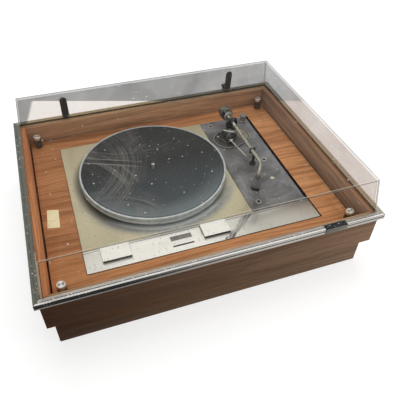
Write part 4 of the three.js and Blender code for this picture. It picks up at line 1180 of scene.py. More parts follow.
class Looks:
    """Every finish of the turntable, built once and found by name."""

    def __init__(self) -> None:
        """Lists the finishes by the record's slot or by a longer name."""
        panel, worn_panel = srgb(250, 247, 237), srgb(232, 228, 216)
        # painted shade on the board's side faces and in the gaps round it
        teak_side_shade = srgb(40, 28, 20)
        self.finishes = {
            # each veneer's third and fourth colours are its inner faces, painted with the light and shade
            # that fall there
            "wall_x": Veneer("walnut_wall_long", Grain.X, srgb(186, 148, 110), srgb(148, 114, 84),
                             srgb(222, 177, 136), srgb(182, 141, 105), seed=1.7,
                             far_light=srgb(206, 168, 132), far_dark=srgb(166, 134, 104)),
            "wall_y": Veneer("walnut_wall_short", Grain.Y, srgb(238, 162, 108), srgb(190, 124, 80),
                             srgb(188, 158, 132), srgb(150, 124, 102), seed=4.1,
                             far_light=srgb(180, 136, 104), far_dark=srgb(144, 106, 80)),
            "base": Veneer("walnut_base", Grain.X, srgb(150, 104, 78), srgb(104, 72, 54), srgb(104, 72, 54),
                           srgb(80, 56, 42), srgb(78, 45, 20), srgb(170, 136, 106), seed=8.3, wraps=True),
            # the board's inner colours and teak_side_shade are painted shade on its side faces
            "board": Veneer("teak_board", Grain.X, srgb(200, 140, 92), srgb(160, 106, 66), srgb(52, 38, 28),
                            srgb(36, 26, 20), teak_side_shade, teak_side_shade, far_light=srgb(226, 163, 110),
                            far_dark=srgb(184, 126, 82), polish=(0.36, 0.52), lines=230.0, figure=0.3,
                            shine=0.12),
            "chipboard": Finish("chipboard", srgb(165, 140, 105), srgb(120, 96, 68), gloss=(0.8, 0.95),
                                grain=260.0, fine=700.0, depth=0.3),
            "rail_x": RailMetal("rail_long", Grain.X, srgb(186, 181, 174), srgb(160, 155, 150), 0.9,
                                (0.24, 0.38), other=srgb(146, 142, 122), striped=True),
            "rail_y": RailMetal("rail_short", Grain.Y, srgb(104, 106, 96), srgb(90, 92, 84), 0.9,
                                (0.26, 0.42), other=srgb(176, 172, 158), switch=Grain.X),
            "champagne": DeckPaint("champagne_deck", srgb(204, 193, 160), srgb(194, 184, 152)),
            "key": KeyMetal("key_silver", Grain.X, panel, worn_panel, 0.85, (0.3, 0.45)),
            "silver": BrushedMetal("part_silver", Grain.X, srgb(206, 204, 196), srgb(170, 167, 158), 0.7,
                                   (0.3, 0.45)),
            "panel": PanelMetal("panel_silver", Grain.X, panel, worn_panel, 0.85, (0.3, 0.45),
                                dull=srgb(202, 198, 186)),
            "armboard": ArmboardPaint("crinkle_grey", srgb(94, 93, 91), srgb(148, 146, 143),
                                      srgb(140, 146, 156)),
            "bedplate": BedplateMetal("bedplate_grey"),
            "cast_metal": TurnedMetal("platter_metal", PLATTER, Grain.Z, srgb(206, 212, 210),
                                      srgb(172, 179, 178), 0.45, (0.26, 0.42)),
            "mat": MatRubber("mat_rubber"),
            "black_rubber": Finish("black_rubber", srgb(34, 34, 34), srgb(50, 49, 47), gloss=(0.55, 0.75),
                                   depth=0.05, shine=0.2),
            "black_plastic": Finish("black_plastic", srgb(24, 24, 25), srgb(42, 42, 42), gloss=(0.2, 0.4),
                                    dust=0.2, shine=0.25),
            "sleeve": SleevePlastic("rail_sleeve", srgb(34, 37, 40), srgb(122, 118, 104)),
            "black_metal": Finish("black_metal", srgb(34, 33, 32), srgb(54, 52, 48), 0.2, (0.32, 0.5),
                                  dust=0.25, shine=0.25),
            "grey_steel": Finish("grey_steel", srgb(130, 130, 126), srgb(92, 91, 86), 0.85, (0.3, 0.5)),
            "dark_steel": Finish("dark_steel", srgb(70, 70, 68), srgb(46, 46, 44), 0.8, (0.3, 0.5)),
            "chrome": Finish("chrome", srgb(226, 226, 222), srgb(186, 185, 178), 1.0, (0.1, 0.24),
                             depth=0.008, dust=0.1),
            "cap": CapMetal("turned_cap", srgb(232, 230, 222), srgb(140, 134, 122)),
            "knob_body": Finish("knob_side", srgb(126, 122, 110), srgb(80, 77, 68), 0.75, (0.24, 0.4),
                                (500.0, 500.0, 40.0)),
            "thumb": Finish("thumbscrew_steel", srgb(200, 197, 184), srgb(140, 137, 124), 0.9, (0.22, 0.4),
                            (300.0, 300.0, 60.0)),
            "tube_metal": Finish("arm_tube_metal", srgb(186, 182, 164), srgb(146, 142, 124), 0.8,
                                 (0.22, 0.4)),
            "weight": Finish("weight_grey", srgb(52, 54, 53), srgb(146, 142, 130), 0.7, (0.22, 0.4), 70.0,
                             dust=0.3),
            "shell": Finish("headshell_grey", srgb(62, 62, 63), srgb(88, 87, 88), 0.1, (0.45, 0.65),
                            dust=0.35),
            "lever": Finish("lever_metal", srgb(236, 234, 224), srgb(206, 204, 194), 0.4, (0.25, 0.4)),
            "strap": Finish("strap_metal", srgb(58, 57, 51), srgb(42, 41, 37), 0.3, (0.32, 0.5), dust=0.35),
            "clear": ClearSheet("clear_cover", srgb(70, 70, 68)),
            "window": Finish("window_grey", srgb(134, 130, 124), srgb(112, 109, 104), gloss=(0.12, 0.25),
                             depth=0.01),
            "circuit": Finish("circuit_green", srgb(70, 104, 66), srgb(92, 120, 74), gloss=(0.4, 0.6)),
            "copper": Finish("copper_winding", srgb(156, 98, 60), srgb(110, 70, 46), 0.6, (0.35, 0.55),
                             fine=(60.0, 60.0, 1600.0), depth=0.2),
            "paper": Finish("old_paper", srgb(255, 246, 204), srgb(250, 234, 178), gloss=(0.7, 0.9),
                            grain=60.0, depth=0.04),
            "cream": Finish("cream_dab", srgb(244, 236, 210), srgb(226, 216, 186), gloss=(0.5, 0.7)),
        }
        self.made: dict[str, Material] = {}

    def get(self, name: str) -> Material:
        """The material of a finish, built the first time it is wanted.

        Args:
            name: The finish's key.

        Returns:
            The material.
        """
        if name not in self.made:
            self.made[name] = self.finishes[name].build()
        return self.made[name]


LOOKS = Looks()


# Shapes


def added(name: str, data: bpy.types.ID) -> Piece:
    """Adds an object at the origin.

    Args:
        name: The object's name.
        data: Its mesh, lamp or camera.

    Returns:
        The object.
    """
    piece = bpy.data.objects.new(name, data)
    bpy.context.scene.collection.objects.link(piece)
    return piece


def new_piece(name: str, points: list, faces: list) -> Piece:
    """A mesh object at the origin.

    Args:
        name: The piece's name.
        points: Corners in millimetres.
        faces: Corner numbers of each face.

    Returns:
        The object.
    """
    mesh = bpy.data.meshes.new(name)
    mesh.from_pydata([metres(point) for point in points], [], faces)
    work = bmesh.new()
    work.from_mesh(mesh)
    bmesh.ops.remove_doubles(work, verts=work.verts, dist=1e-6)
    bmesh.ops.recalc_face_normals(work, faces=work.faces)
    work.to_mesh(mesh)
    work.free()
    return added(name, mesh)


def smoothed(piece: Piece, angle: float = 32.0) -> Piece:
    """Shades a piece smooth, but for edges sharper than the angle.

    Args:
        piece: The object.
        angle: In degrees.

    Returns:
        The same object.
    """
    piece.data.polygons.foreach_set("use_smooth", [True] * len(piece.data.polygons))
    piece.data.set_sharp_from_angle(angle=math.radians(angle))
    return piece


def baked(piece: Piece) -> Piece:
    """Applies a piece's modifiers to its mesh.

    Args:
        piece: The object.

    Returns:
        The same object, with no modifier.
    """
    graph = bpy.context.evaluated_depsgraph_get()
    mesh = bpy.data.meshes.new_from_object(piece.evaluated_get(graph))
    piece.modifiers.clear()
    piece.data = mesh
    return piece


def bevelled(piece: Piece, width: float, steps: int = 2, angle: float = 30.0) -> Piece:
    """Rounds a piece's sharp edges.

    Args:
        piece: The object.
        width: In millimetres.
        steps: Segments of the round.
        angle: Edges sharper than this are rounded, in degrees.

    Returns:
        The same object.
    """
    bevel = piece.modifiers.new("edges", "BEVEL")
    bevel.width = width * MM
    bevel.segments = steps
    bevel.limit_method = "ANGLE"
    bevel.angle_limit = math.radians(angle)
    bevel.harden_normals = False
    return smoothed(baked(piece))


def refined(node: str, width: float, steps: int = 2) -> Piece:
    """A merged copy of a CAD node with rounded edges.

    Args:
        node: The node's name.
        width: The round's width in millimetres.
        steps: Segments of the round.

    Returns:
        The new object.
    """
    work = bmesh.new()
    work.from_mesh(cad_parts[node].data)
    bmesh.ops.remove_doubles(work, verts=work.verts, dist=2e-6)
    bmesh.ops.dissolve_limit(work, angle_limit=math.radians(0.6), verts=work.verts, edges=work.edges)
    mesh = bpy.data.meshes.new(node + "_shape")
    work.to_mesh(mesh)
    work.free()
    return bevelled(added(node + "_look", mesh), width, steps)


def eased(points: list[Flat], radius: float, steps: int = 3, closed: bool = True) -> list[Flat]:
    """Rounds the corners of a flat outline.

    Args:
        points: The outline's corners.
        radius: The most that a corner is cut back.
        steps: Segments of each round.
        closed: Whether the outline joins up.

    Returns:
        The new outline.
    """
    out: list[Flat] = []
    count = len(points)
    for i, here in enumerate(points):
        if not closed and i in (0, count - 1):
            out.append(here)
            continue
        middle = Vector(here)
        before, after = Vector(points[i - 1]) - middle, Vector(points[(i + 1) % count]) - middle
        cut = min(radius, before.length * 0.45, after.length * 0.45)
        start, end = middle + before.normalized() * cut, middle + after.normalized() * cut
        for step in range(steps + 1):
            t = step / steps
            point = start * (1 - t) ** 2 + middle * (2 * t * (1 - t)) + end * t ** 2
            out.append((point.x, point.y))
    return out


def turned(name: str, profile: list[Flat], at: Point, axis: Grain = Grain.Z, sides: int = 64,
           ease: float = 0.4) -> Piece:
    """A round piece from a profile of radius and height.

    Args:
        name: The piece's name.
        profile: Radius and height pairs, open where it starts and ends on the axis.
        at: The middle that heights count from, in millimetres.
        axis: The piece's own axis.
        sides: Facets round it.
        ease: How much its corners are rounded.

    Returns:
        The object.
    """
    solid = profile[0][0] == 0 and profile[-1][0] == 0
    line = eased(profile, ease, closed=not solid)
    points, faces = [], []
    for radius, height in line:
        for step in range(sides):
            angle = 2 * math.pi * step / sides
            a, b = radius * math.cos(angle), radius * math.sin(angle)
            local = {Grain.Z: (a, b, height), Grain.Y: (b, height, a), Grain.X: (height, a, b)}[axis]
            points.append(tuple(local[i] + at[i] for i in range(3)))
    rows = len(line) if not solid else len(line) - 1
    for row in range(rows):
        low, high = row * sides, ((row + 1) % len(line)) * sides
        for step in range(sides):
            after = (step + 1) % sides
            faces.append((low + step, low + after, high + after, high + step))
    piece = new_piece(name, points, faces)
    return smoothed(clean(piece))


def clean(piece: Piece) -> Piece:
    """Drops the empty faces at a round piece's poles and turns its faces outwards.

    Args:
        piece: The object.

    Returns:
        The same object.
    """
    work = bmesh.new()
    work.from_mesh(piece.data)
    bmesh.ops.dissolve_degenerate(work, edges=work.edges, dist=1e-7)
    bmesh.ops.remove_doubles(work, verts=work.verts, dist=1e-7)
    bmesh.ops.recalc_face_normals(work, faces=work.faces)
    work.to_mesh(piece.data)
    work.free()
    return piece


def swept(name: str, path: list[Point], radii: list[float] | float, sides: int = 16) -> Piece:
    """A round rod along a path, closed at both ends.

    Args:
        name: The piece's name.
        path: Points in millimetres.
        radii: One radius, or one to each point.
        sides: Facets round it.

    Returns:
        The object.
    """
    sizes = radii if isinstance(radii, list) else [radii] * len(path)
    spots = [Vector(p) for p in path]
    points, faces = [], []
    side = None
    for i, spot in enumerate(spots):
        run = (spots[min(i + 1, len(spots) - 1)] - spots[max(i - 1, 0)]).normalized()
        if side is None:
            side = run.orthogonal().normalized()
        side = (side - run * side.dot(run)).normalized()
        other = run.cross(side)
        for step in range(sides):
            angle = 2 * math.pi * step / sides
            offset = side * math.cos(angle) + other * math.sin(angle)
            points.append(tuple(spot + offset * sizes[i]))
    for i in range(len(spots) - 1):
        for step in range(sides):
            after = (step + 1) % sides
            low, high = i * sides, (i + 1) * sides
            faces.append((low + step, low + after, high + after, high + step))
    last = (len(spots) - 1) * sides
    faces.append(tuple(range(sides)))
    faces.append(tuple(range(last + sides - 1, last - 1, -1)))
    return smoothed(new_piece(name, points, faces), 50.0)


def plate(name: str, outline: list[Flat], low: float, high: float, ease: float = 0.5) -> Piece:
    """A flat plate from its outline seen from above.

    Args:
        name: The piece's name.
        outline: X and Y pairs in millimetres.
        low: Its underside's height.
        high: Its top's height.
        ease: The round of its edges.

    Returns:
        The object.
    """
    count = len(outline)
    points = [(x, y, z) for z in (low, high) for x, y in outline]
    faces = [tuple(range(count - 1, -1, -1)), tuple(range(count, 2 * count))]
    faces += [(i, (i + 1) % count, count + (i + 1) % count, count + i) for i in range(count)]
    return bevelled(new_piece(name, points, faces), ease, 3)


def block(name: str, low: Point, high: Point, ease: float = 0.5, steps: int = 3) -> Piece:
    """A box with rounded edges.

    Args:
        name: The piece's name.
        low: Its lowest corner in millimetres.
        high: Its highest corner.
        ease: The round of its edges.
        steps: Segments of the round.

    Returns:
        The object.
    """
    outline = [(low[0], low[1]), (high[0], low[1]), (high[0], high[1]), (low[0], high[1])]
    points = [(x, y, z) for z in (low[2], high[2]) for x, y in outline]
    faces = [(3, 2, 1, 0), (4, 5, 6, 7)] + [(i, (i + 1) % 4, 4 + (i + 1) % 4, 4 + i) for i in range(4)]
    return bevelled(new_piece(name, points, faces), ease, steps)


def mitred(name: str, profile: list[Flat], half: Flat, middle: Flat) -> Piece:
    """A frame of one profile round a rectangle, with mitred corners.

    Args:
        name: The piece's name.
        profile: Inset and height pairs in millimetres.
        half: The rectangle's half width and half depth.
        middle: Its middle.

    Returns:
        The object.
    """
    points = []
    for inset, height in profile:
        for sx, sy in ((-1, -1), (1, -1), (1, 1), (-1, 1)):
            points.append((middle[0] + sx * (half[0] - inset), middle[1] + sy * (half[1] - inset), height))
    count = len(profile)
    faces = []
    for i in range(count):
        j = (i + 1) % count
        faces += [(4 * i + c, 4 * i + (c + 1) % 4, 4 * j + (c + 1) % 4, 4 * j + c) for c in range(4)]
    return smoothed(new_piece(name, points, faces))


def dressed(piece: Piece, look: str, body: str, slot: str, *nodes: str) -> Piece:
    """Gives a piece its finish and its body, and hides the nodes that it stands for.

    Args:
        piece: The object.
        look: The finish's key.
        body: The CAD body that it rides on.
        slot: The record's material slot; not used.
        *nodes: The CAD nodes that it replaces.

    Returns:
        The same object.
    """
    piece.data.materials.clear()
    piece.data.materials.append(LOOKS.get(look))
    if nodes:
        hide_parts(*nodes)
    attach(piece, body)
    LOG.info("%s: %d faces on %s", piece.name, len(piece.data.polygons), body)
    return piece


def shown(node: str, width: float, look: str, body: str, slot: str, steps: int = 2) -> Piece:
    """Rounds the edges of a CAD node's copy by a width in millimetres, and dresses it in the node's place."""
    return dressed(refined(node, width, steps), look, body, slot, node)


# Shapes that repeat or follow a rule, made with Geometry Nodes


class Tree(Nodes):
    """One Geometry Nodes tree in the making, with named inputs."""

    def __init__(self, name: str, inputs: dict[str, str]) -> None:
        """Starts the tree.

        Args:
            name: The tree's name.
            inputs: Each input's socket type, by name.
        """
        super().__init__(bpy.data.node_groups.new(name, "GeometryNodeTree"), "")
        face = self.tree.interface
        face.new_socket("Geometry", in_out="INPUT", socket_type="NodeSocketGeometry")
        face.new_socket("Geometry", in_out="OUTPUT", socket_type="NodeSocketGeometry")
        self.keys = {
            key: face.new_socket(key, in_out="INPUT", socket_type="NodeSocket" + kind).identifier
            for key, kind in inputs.items()
        }
        self.source = self.tree.nodes.new("NodeGroupInput")
        self.sink = self.tree.nodes.new("NodeGroupOutput")

    def given(self, name: str) -> Socket:
        """The socket that brings one of the tree's inputs."""
        return self.source.outputs[name]

    def close(self, shape: Socket) -> None:
        """Ends the tree in Realize Instances, Set Material and the output.

        Args:
            shape: The finished geometry.
        """
        real = self.node("GeometryNodeRealizeInstances", {0: shape})
        painted = self.node("GeometryNodeSetMaterial", {0: real, "Material": self.given("Material")})
        self.feed(self.sink.inputs[0], painted)

    def grow(self, name: str, start: list[Point], values: dict, *dress: str, edges: tuple = ()) -> Piece:
        """Runs the tree on a mesh of points, keeps the result as a plain mesh and dresses it.

        Args:
            name: The piece's name.
            start: The points that it starts from, in millimetres.
            values: The tree's inputs by name, in metres and radians.
            *dress: Its look, body, slot and nodes, as dressed takes them.
            edges: The edges between the points, as pairs of their numbers.

        Returns:
            The object.
        """
        mesh = bpy.data.meshes.new(name)
        mesh.from_pydata([metres(point) for point in start], edges, [])
        piece = added(name, mesh)
        run = piece.modifiers.new("grown", "NODES")
        run.node_group = self.tree
        for key, value in {**values, "Material": LOOKS.get(dress[0])}.items():
            run[self.keys[key]] = value
        return dressed(smoothed(clean(baked(piece))), *dress)


def coil_tree() -> Tree:
    """A tree that winds a wire into a coil spring that stands on each point.

    Returns:
        The tree.
    """
    tree = Tree("coil_spring", {"Turns": "Float", "Radius": "Float", "Height": "Float", "Wire": "Float",
                                "Material": "Material"})
    spiral = tree.node("GeometryNodeCurveSpiral", {
        "Resolution": 40, "Rotations": tree.given("Turns"), "Start Radius": tree.given("Radius"),
        "End Radius": tree.given("Radius"), "Height": tree.given("Height"),
    })
    section = tree.node("GeometryNodeCurvePrimitiveCircle", {"Resolution": 10, "Radius": tree.given("Wire")})
    parts = {"Curve": spiral, "Profile Curve": section, "Fill Caps": True}
    wire = tree.node("GeometryNodeCurveToMesh", parts)
    spots = {"Points": tree.given("Geometry"), "Instance": wire}
    tree.close(tree.node("GeometryNodeInstanceOnPoints", spots))
    return tree


def ridge_tree() -> Tree:
    """A tree that stands thin ridges round each point, as on a knurled grip.

    Returns:
        The tree.
    """
    tree = Tree("grip_ridges", {"Count": "Int", "Radius": "Float", "Height": "Float", "Ridge": "Float",
                                "Material": "Material"})
    circle = {"Vertices": tree.given("Count"), "Radius": tree.given("Radius")}
    rim = tree.node("GeometryNodeMeshCircle", circle)
    ridge = tree.node("GeometryNodeMeshCylinder", {
        "Vertices": 6, "Radius": tree.given("Ridge"), "Depth": tree.given("Height"),
    })
    grip = tree.node("GeometryNodeInstanceOnPoints", {"Points": rim, "Instance": ridge})
    spots = {"Points": tree.given("Geometry"), "Instance": grip}
    tree.close(tree.node("GeometryNodeInstanceOnPoints", spots))
    return tree


def screw_tree() -> Tree:
    """A tree that sets a slotted screw head on each point.

    Returns:
        The tree.
    """
    tree = Tree("slotted_screws", {"Radius": "Float", "Height": "Float", "Slot": "Float", "Tilt": "Vector",
                                   "Material": "Material"})
    head = tree.node("GeometryNodeMeshCylinder", {
        "Vertices": 28, "Side Segments": 1, "Radius": tree.given("Radius"), "Depth": tree.given("Height"),
    })
    wide = tree.node("ShaderNodeMath", {0: tree.given("Radius"), 1: 3.0}, operation="MULTIPLY")
    size = tree.node("ShaderNodeCombineXYZ", {0: wide, 1: tree.given("Slot"), 2: tree.given("Height")})
    bar = tree.node("GeometryNodeMeshCube", {"Size": size})
    lift = tree.node("ShaderNodeMath", {0: tree.given("Height"), 1: 0.6}, operation="MULTIPLY")
    raised = tree.node("ShaderNodeCombineXYZ", {2: lift})
    moved = tree.node("GeometryNodeTransform", {0: bar, "Translation": raised, "Rotation": (0, 0, 0.6)})
    cut = tree.node("GeometryNodeMeshBoolean", {0: head, 1: moved}, operation="DIFFERENCE")
    tree.close(tree.node("GeometryNodeInstanceOnPoints", {
        "Points": tree.given("Geometry"), "Instance": cut, "Rotation": tree.given("Tilt"),
    }))
    return tree


def ring_tree() -> Tree:
    """A tree that carries a closed profile round a circle, as a lathe leaves it.

    Returns:
        The tree.
    """
    tree = Tree("turned_ring", {"Radius": "Float", "Sides": "Int", "Place": "Vector", "Material": "Material"})
    section = tree.node("GeometryNodeMeshToCurve", {0: tree.given("Geometry")})
    circle = tree.node("GeometryNodeCurvePrimitiveCircle", {
        "Resolution": tree.given("Sides"), "Radius": tree.given("Radius"),
    })
    ring = tree.node("GeometryNodeCurveToMesh", {"Curve": circle, "Profile Curve": section})
    tree.close(tree.node("GeometryNodeTransform", {0: ring, "Translation": tree.given("Place")}))
    return tree


COILS = coil_tree()
RIDGES = ridge_tree()
SCREWS = screw_tree()
RINGS = ring_tree()


def ring_of(name: str, profile: list[Flat], middle: Point, ease: float, sides: int, *dress: str) -> Piece:
    """A turned ring round the Z axis, dressed.

    Args:
        name: The piece's name.
        profile: Radius and height pairs of its section.
        middle: Its middle in millimetres.
        ease: How much its corners are rounded.
        sides: Facets round it.
        *dress: Its look, body, slot and nodes, as dressed takes them.

    Returns:
        The object.
    """
    line = eased(profile, ease)
    radius = sum(r for r, _ in line) / len(line)
    points = [(r - radius, -height, 0.0) for r, height in line]
    edges = tuple((i, (i + 1) % len(points)) for i in range(len(points)))
    values = {"Radius": radius * MM, "Sides": sides, "Place": metres(middle)}
    return RINGS.grow(name, points, values, *dress, edges=edges)


# Sub-assemblies


@dataclass
class Plinth:
    """Walls, base, rail and hinge brackets: all that stands still."""

    top: float = 138.3
    rail_height: float = 11.0
    rail_width: float = 10.5
    rail_lip: float = 2.7
    wall_set: float = 6.2
    groove: Flat = (0.58, 1.8)
    screw_y: float = 248.9
    screw_heights: Flat = (100.0, 118.0)

    def build(self) -> None:
        """Builds and dresses every piece on the plinth."""
        for side in ("front", "back"):
            shown(f"{side}_wall", 0.35, "wall_x", "plinth", "wall_veneer")
        for side in ("left", "right"):
            shown(f"{side}_wall", 0.35, "wall_y", "plinth", "wall_veneer")
        shown("base_frame", 0.8, "base", "plinth", "base_veneer")
        shown("bottom_panel", 0.5, "chipboard", "plinth", "chipboard")
        for corner in ("front_left", "front_right", "back_left", "back_right"):
            shown(f"corner_block_{corner}", 0.5, "chipboard", "plinth", "chipboard")
        shown("lead_gland", 0.5, "black_rubber", "plinth", "black_rubber")
        self.rail()
        shown("rail_joint_cover", 0.25, "sleeve", "plinth", "black_plastic")
        self.brackets()

    def rail(self) -> None:
        """The aluminium rail with its grooves and rolled edges."""
        top, low = self.top, self.top - self.rail_height
        share, width = self.groove
        mid = low + share * self.rail_height
        profile = eased([
            (0, low), (0, mid - width / 2), (0.8, mid - width / 2), (0.8, mid + width / 2),
            (0, mid + width / 2), (0, top),
            (self.rail_width / 2 - 0.9, top), (self.rail_width / 2, top - 0.8),
            (self.rail_width / 2 + 0.9, top), (self.rail_width, top), (self.rail_width, top - self.rail_lip),
            (self.wall_set, top - self.rail_lip), (self.wall_set, low),
        ], 0.6, 2)
        rail = mitred("edge_rail_look", profile, HALF, (0.0, MIDDLE_Y))
        dressed(rail, "rail_x", "plinth", "rail_metal", "edge_rail")
        rail.data.materials.append(LOOKS.get("rail_y"))
        for face in rail.data.polygons:
            face.material_index = int(abs(face.normal.x) > abs(face.normal.y)
                                      or self.lies_on_side(face.center))

    def lies_on_side(self, centre: Vector) -> bool:
        """Whether a level face belongs to one of the rail's short runs."""
        return HALF[0] * MM - abs(centre.x) < HALF[1] * MM - abs(centre.y - MIDDLE_Y * MM)

    def brackets(self) -> None:
        """The two hinge brackets behind the plinth and their screws."""
        turn = (-math.pi / 2, 0.0, 0.0)
        values = {"Radius": 2.6 * MM, "Height": 1.2 * MM, "Slot": 0.7 * MM, "Tilt": turn}
        for side, x in (("left", -STRAP_X), ("right", STRAP_X)):
            shown(f"hinge_bracket_{side}", 0.4, "black_metal", "plinth", "black_metal")
            spots = [(x, self.screw_y, z) for z in self.screw_heights]
            SCREWS.grow(f"bracket_screws_{side}", spots, values, "grey_steel", "plinth", "grey_steel")


@dataclass
class Suspension:
    """The board's four corner springs and the levelling knobs above them."""

    spring_low: float = 49.0
    spring_height: float = 26.0
    spring_radius: float = 7.6
    wire: float = 1.0
    bolt: Flat = (3.0, 36.7)
    seat: float = 94.6
    cap: float = 115.6
    top: float = 122.1
    body_radius: float = 8.2

    def build(self) -> None:
        """Builds every knob and spring."""
        for sx, sy, corner in ((-1, -1, "front_left"), (1, -1, "front_right"), (-1, 1, "back_left"),
                               (1, 1, "back_right")):
            at = (sx * KNOB[0], sy * KNOB[1] + MIDDLE_Y, 0.0)
            self.knob(corner, at)
            self.spring(corner, at)

    def knob(self, corner: str, at: Point) -> None:
        """One knob: bolt and knurled body, with a bright turned cap.

        Args:
            corner: The corner's name.
            at: The knob's axis at shelf height.
        """
        body = f"level_knob_{corner}"
        bolt, foot = self.bolt
        core = self.body_radius - 0.6
        shape = turned(body + "_look", [
            (0, foot), (bolt - 0.6, foot), (bolt, foot + 1), (bolt, self.seat), (core, self.seat),
            (core, self.cap - 0.6), (core - 1.2, self.cap), (0, self.cap),
        ], at, sides=48)
        dressed(shape, "knob_body", body, "chrome", body)
        crown = turned(body + "_cap", [
            (0, self.cap - 0.1), (CAP_RADIUS, self.cap - 0.1), (CAP_RADIUS, self.top - 1.0),
            (CAP_RADIUS - 1.0, self.top), (CAP_RADIUS - 1.8, self.top - 0.3), (0, self.top - 0.3),
        ], at, sides=48, ease=0.5)
        dressed(crown, "cap", body, "chrome")
        height = self.cap - self.seat - 3.0
        values = {"Count": 40, "Radius": core * MM, "Height": height * MM, "Ridge": 0.55 * MM}
        middle = (at[0], at[1], (self.cap + self.seat) / 2)
        RIDGES.grow(body + "_grip", [middle], values, "knob_body", body, "chrome")

    def spring(self, corner: str, at: Point) -> None:
        """One coil spring under the board.

        Args:
            corner: The corner's name.
            at: Its axis at shelf height.
        """
        node = f"suspension_spring_{corner}"
        height = self.spring_height - 2 * self.wire
        radius, wire = self.spring_radius * MM, self.wire * MM
        values = {"Turns": 4.0, "Radius": radius, "Height": height * MM, "Wire": wire}
        foot = (at[0], at[1], self.spring_low + self.wire)
        COILS.grow(node + "_look", [foot], values, "grey_steel", "board", "grey_steel", node)


@dataclass
class MotorBoard:
    """The sprung board with its deck plate, panel, keys and electrics."""

    sticker: tuple = ((-275.5, -56.0), (-253.0, -60.5), (-250.5, -12.5), (-271.5, -7.0))
    sticker_z: float = 94.32

    def build(self) -> None:
        """Builds and dresses the board, the deck, what hangs below them, and the bare sticker at the left."""
        shown("motor_board", 0.6, "board", "board", "board_veneer")
        shown("deck_plate", 0.3, "champagne", "board", "champagne")
        shown("control_panel", 0.3, "panel", "board", "silver")
        shown("strobe_window", 0.4, "window", "board", "window_grey")
        for key in ("power_key", "speed_key"):
            shown(key, 0.4, "key", key, "silver", 3)
        shown("trim_wheel", 0.2, "black_plastic", "trim_wheel", "black_plastic")
        shown("drive_motor", 0.6, "black_metal", "board", "black_metal")
        shown("motor_pulley", 0.3, "cast_metal", "motor_pulley", "cast_metal")
        shown("transformer", 0.8, "copper", "board", "copper")
        shown("circuit_board", 0.2, "circuit", "board", "circuit_green")
        sheet = plate("paper_sticker", self.sticker, self.sticker_z, self.sticker_z + 0.3, 0.1)
        dressed(sheet, "paper", "board", "board_veneer")


@dataclass
class Chassis:
    """The suspended chassis with its bearing, belt and arm board."""

    wire: float = 1.0
    screws: tuple = ((125.1, 159.3), (193.6, 6.3), (126.4, -112.7))
    dab: Flat = (183.6, -54.7)
    thumb: Flat = (206.75, 156.5)

    def build(self) -> None:
        """Builds and dresses the chassis and the arm board."""
        shown("sub_chassis", 0.5, "grey_steel", "sub_chassis", "grey_steel")
        shown("bearing_housing", 0.4, "grey_steel", "sub_chassis", "grey_steel")
        shown("drive_belt", 0.1, "black_rubber", "sub_chassis", "black_rubber")
        shown("armboard", 0.5, "armboard", "sub_chassis", "textured_grey", 3)
        shown("arm_bedplate", 0.5, "bedplate", "sub_chassis", "textured_grey")
        for name in ("left", "right", "back"):
            self.spring(f"chassis_spring_{name}")
        self.thumbscrew()
        spots = [(x, y, BOARD_TOP + 0.7) for x, y in self.screws]
        values = {"Radius": 3.3 * MM, "Height": 1.6 * MM, "Slot": 1.0 * MM, "Tilt": (0.0, 0.0, 0.0)}
        SCREWS.grow("armboard_screws", spots, values, "dark_steel", "sub_chassis", "grey_steel")
        cup = [(3.5, 0.1), (6.0, 0.1), (5.6, 1.2), (4.8, 1.6), (3.5, 0.9)]
        for number, (x, y) in enumerate(self.screws, 1):
            place = (x, y, BOARD_TOP)
            ring_of(f"screw_cup_{number}", cup, place, 0.2, 40, "silver", "sub_chassis", "grey_steel")
        x, y = self.dab
        mark = plate("cream_mark", eased([(x - 5, y - 1), (x + 3, y - 5), (x + 6, y), (x - 1, y + 4)], 2.0),
                     BOARD_TOP + 0.05, BOARD_TOP + 0.5, 0.15)
        dressed(mark, "cream", "sub_chassis", "textured_grey")

    def spring(self, node: str) -> None:
        """One chassis spring, standing where its node does.

        Args:
            node: The node's name.
        """
        low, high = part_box(node)
        wire = self.wire * MM
        foot = ((low.x + high.x) / 2 / MM, (low.y + high.y) / 2 / MM, low.z / MM + self.wire)
        radius = (high.x - low.x) / 2 - wire
        values = {"Turns": 4.0, "Radius": radius, "Height": high.z - low.z - 2 * wire, "Wire": wire}
        COILS.grow(node + "_look", [foot], values, "grey_steel", "sub_chassis", "grey_steel", node)

    def thumbscrew(self) -> None:
        """The tall screw at the arm board's back corner."""
        x, y = self.thumb
        shape = turned("armboard_thumbscrew_look", [
            (0, 95.6), (8.5, 95.6), (8.5, 99.4), (6.0, 99.8), (6.0, 110.2), (8.0, 110.8), (8.0, 113.6),
            (7.2, 114.6), (2.0, 114.6), (1.6, 113.9), (0, 113.9),
        ], (x, y, 0.0), sides=48, ease=0.5)
        dressed(shape, "thumb", "sub_chassis", "chrome", "armboard_thumbscrew")
        values = {"Count": 32, "Radius": 8.0 * MM, "Height": 2.4 * MM, "Ridge": 0.45 * MM}
        RIDGES.grow("thumbscrew_grip", [(x, y, 112.2)], values, "thumb", "sub_chassis", "chrome")


